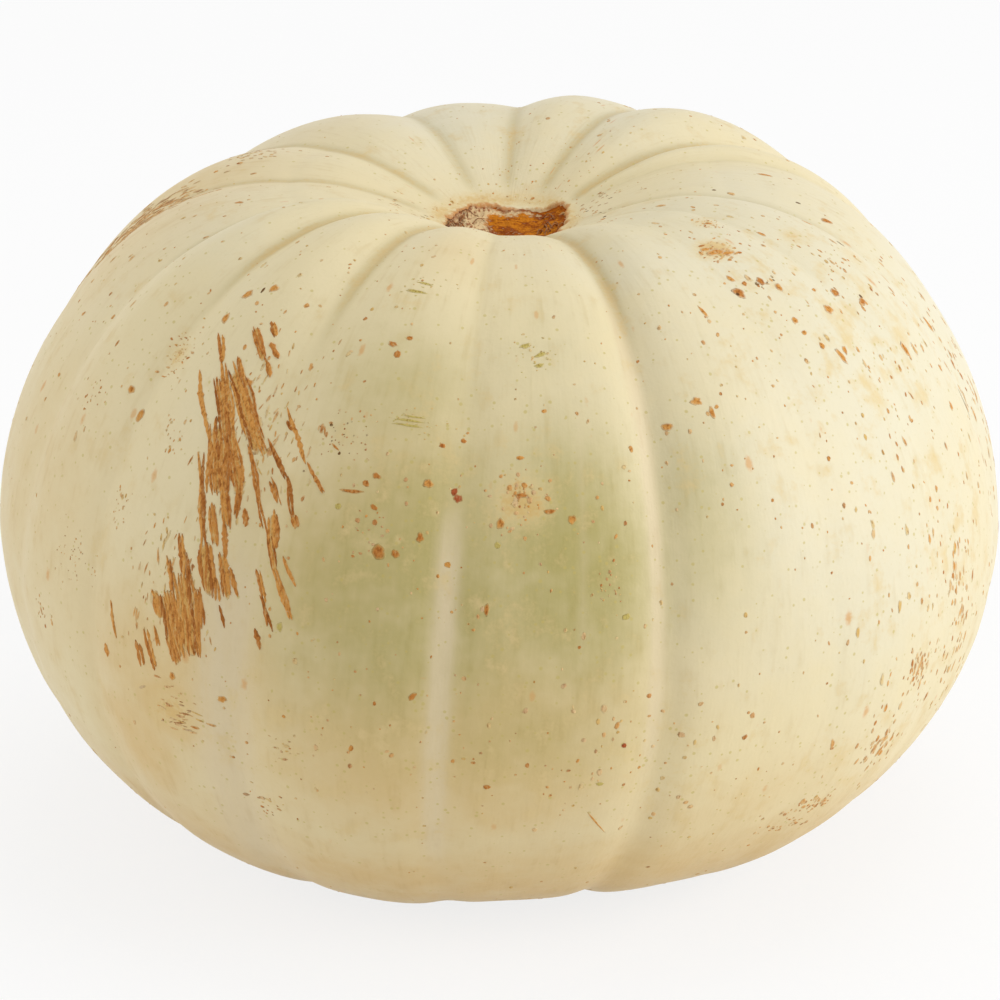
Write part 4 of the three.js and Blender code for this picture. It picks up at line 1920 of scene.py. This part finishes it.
@dataclass(frozen=True)
class StrandFinish:
    """Dried brown strands."""

    name: str = "torn_strands"
    roughness: float = 0.7

    def material(self) -> bpy.types.Material:
        """Makes the finish.

        Returns:
            The material.
        """
        made = Material(self.name)
        sheet = made.sheet
        place = sheet.position()
        streaks = sheet.noise(place, 0.8, 2.0, 0.6)
        tone = sheet.blend(Tone.STRAND, Tone.CORK, (0.4 + 2.4 * streaks).rise(0.0, 1.0))
        made.set({"Base Color": tone, "Roughness": self.roughness + 0.3 * streaks})
        made.bump(0.3 * streaks)
        return made.made

# ---- Studio ----


@dataclass(frozen=True)
class Lamp:
    """A square soft lamp: its name, where it hangs, its power in watts, and the length of its side."""

    name: str
    place: tuple[float, float, float]
    watts: float
    size: float = 1.8


LAMPS = (
    Lamp("key", (2.3, -0.7, 1.0), 41),
    Lamp("fill", (-2.3, -0.3, 0.8), 16.5),
    Lamp("top", (0.3, 0.5, 2.3), 15.5),
)


@dataclass
class Studio:
    """The camera, the lamps, the world and the floor."""

    elevation: float = 22.0
    distance: float = 1.5
    lens: float = 179.4
    aim_height: float = 0.0959
    aim_side: float = 0.0
    world_light: float = 0.44
    floor_size: float = 4.4
    floor_glow: float = 0.8

    def camera(self) -> None:
        """A long lens that looks down on the fruit."""
        data = bpy.data.cameras.new("camera")
        data.lens = self.lens
        data.sensor_width = 36.0
        made = bpy.data.objects.new("camera", data)
        angle = math.radians(self.elevation)
        made.location = (
            self.aim_side,
            -self.distance * math.cos(angle),
            self.aim_height + self.distance * math.sin(angle),
        )
        made.rotation_euler = (math.pi / 2 - angle, 0.0, 0.0)
        bpy.context.scene.collection.objects.link(made)
        bpy.context.scene.camera = made

    def hang(self, lamp: Lamp) -> None:
        """Hangs a lamp so that it looks at the fruit.

        Args:
            lamp: the lamp.
        """
        data = bpy.data.lights.new(lamp.name, "AREA")
        data.shape = "SQUARE"
        data.size = lamp.size
        data.energy = lamp.watts
        made = bpy.data.objects.new(lamp.name, data)
        made.location = lamp.place
        aim = Vector((0.0, 0.0, self.aim_height)) - Vector(lamp.place)
        made.rotation_euler = aim.to_track_quat("-Z", "Y").to_euler()
        bpy.context.scene.collection.objects.link(made)

    def seen_directly(self, sheet: NodeSheet) -> Wire:
        """What the camera sees directly, in a mirror or through glass.

        Args:
            sheet: the nodes.

        Returns:
            1 for that, and 0 for light that reaches the fruit.
        """
        camera = sheet.node("ShaderNodeLightPath", output="Is Camera Ray")
        outputs = camera.socket.node.outputs
        mirrored = Wire(sheet, outputs["Is Glossy Ray"]).most(Wire(sheet, outputs["Is Transmission Ray"]))
        return camera.most(mirrored)

    def world(self) -> None:
        """A white surround, which lights the fruit more softly than it looks."""
        made = bpy.data.worlds.new("studio")
        made.use_nodes = True
        sheet = NodeSheet(made.node_tree)
        background = made.node_tree.nodes["Background"]
        sheet.feed(background.inputs["Color"], (1.0, 1.0, 1.0))
        strength = self.world_light + (1.0 - self.world_light) * self.seen_directly(sheet)
        sheet.feed(background.inputs["Strength"], strength)
        bpy.context.scene.world = made

    def floor(self) -> None:
        """A pale floor that looks nearly white and keeps the fruit's shadow."""
        half = self.floor_size / 2
        corners = [(-half, -half, 0), (half, -half, 0), (half, half, 0), (-half, half, 0)]
        made = as_object("floor", np.array(corners), [(0, 1, 2, 3)])
        paint = Material("floor_paint")
        paint.set({"Base Color": (0.95, 0.95, 0.95), "Roughness": 0.9})
        sheet = paint.sheet
        glow = sheet.node("ShaderNodeEmission", None, {"Color": (1.0, 1.0, 1.0), "Strength": 1.0})
        share = self.floor_glow * self.seen_directly(sheet)
        painted = Wire(sheet, paint.shader.outputs["BSDF"])
        mixed = sheet.node("ShaderNodeMixShader", None, {0: share, 1: painted, 2: glow})
        end = next(node for node in sheet.tree.nodes if node.type == "OUTPUT_MATERIAL")
        sheet.feed(end.inputs["Surface"], mixed)
        made.data.materials.append(paint.made)

    def build(self) -> None:
        """Sets up everything that isn't the fruit."""
        bpy.context.scene.view_settings.view_transform = "Standard"
        self.camera()
        for lamp in LAMPS:
            self.hang(lamp)
        self.world()
        self.floor()


def main() -> None:
    """Builds the fruit and the studio, and reports each piece."""
    logging.basicConfig(level=logging.INFO, format="%(name)s: %(message)s")
    Studio().build()
    cork = CorkFinish()
    skin = Skin()
    pieces = [
        skin.build(RindFinish()),
        *StemScar().build(cork, StrandFinish()),
        BlossomScar().build(cork),
        *Blemishes(skin).build(BlemishFinish()),
    ]
    for piece in pieces:
        LOG.info("%s has %d faces", piece.name, len(piece.data.polygons))


if __name__ == "__main__":
    main()
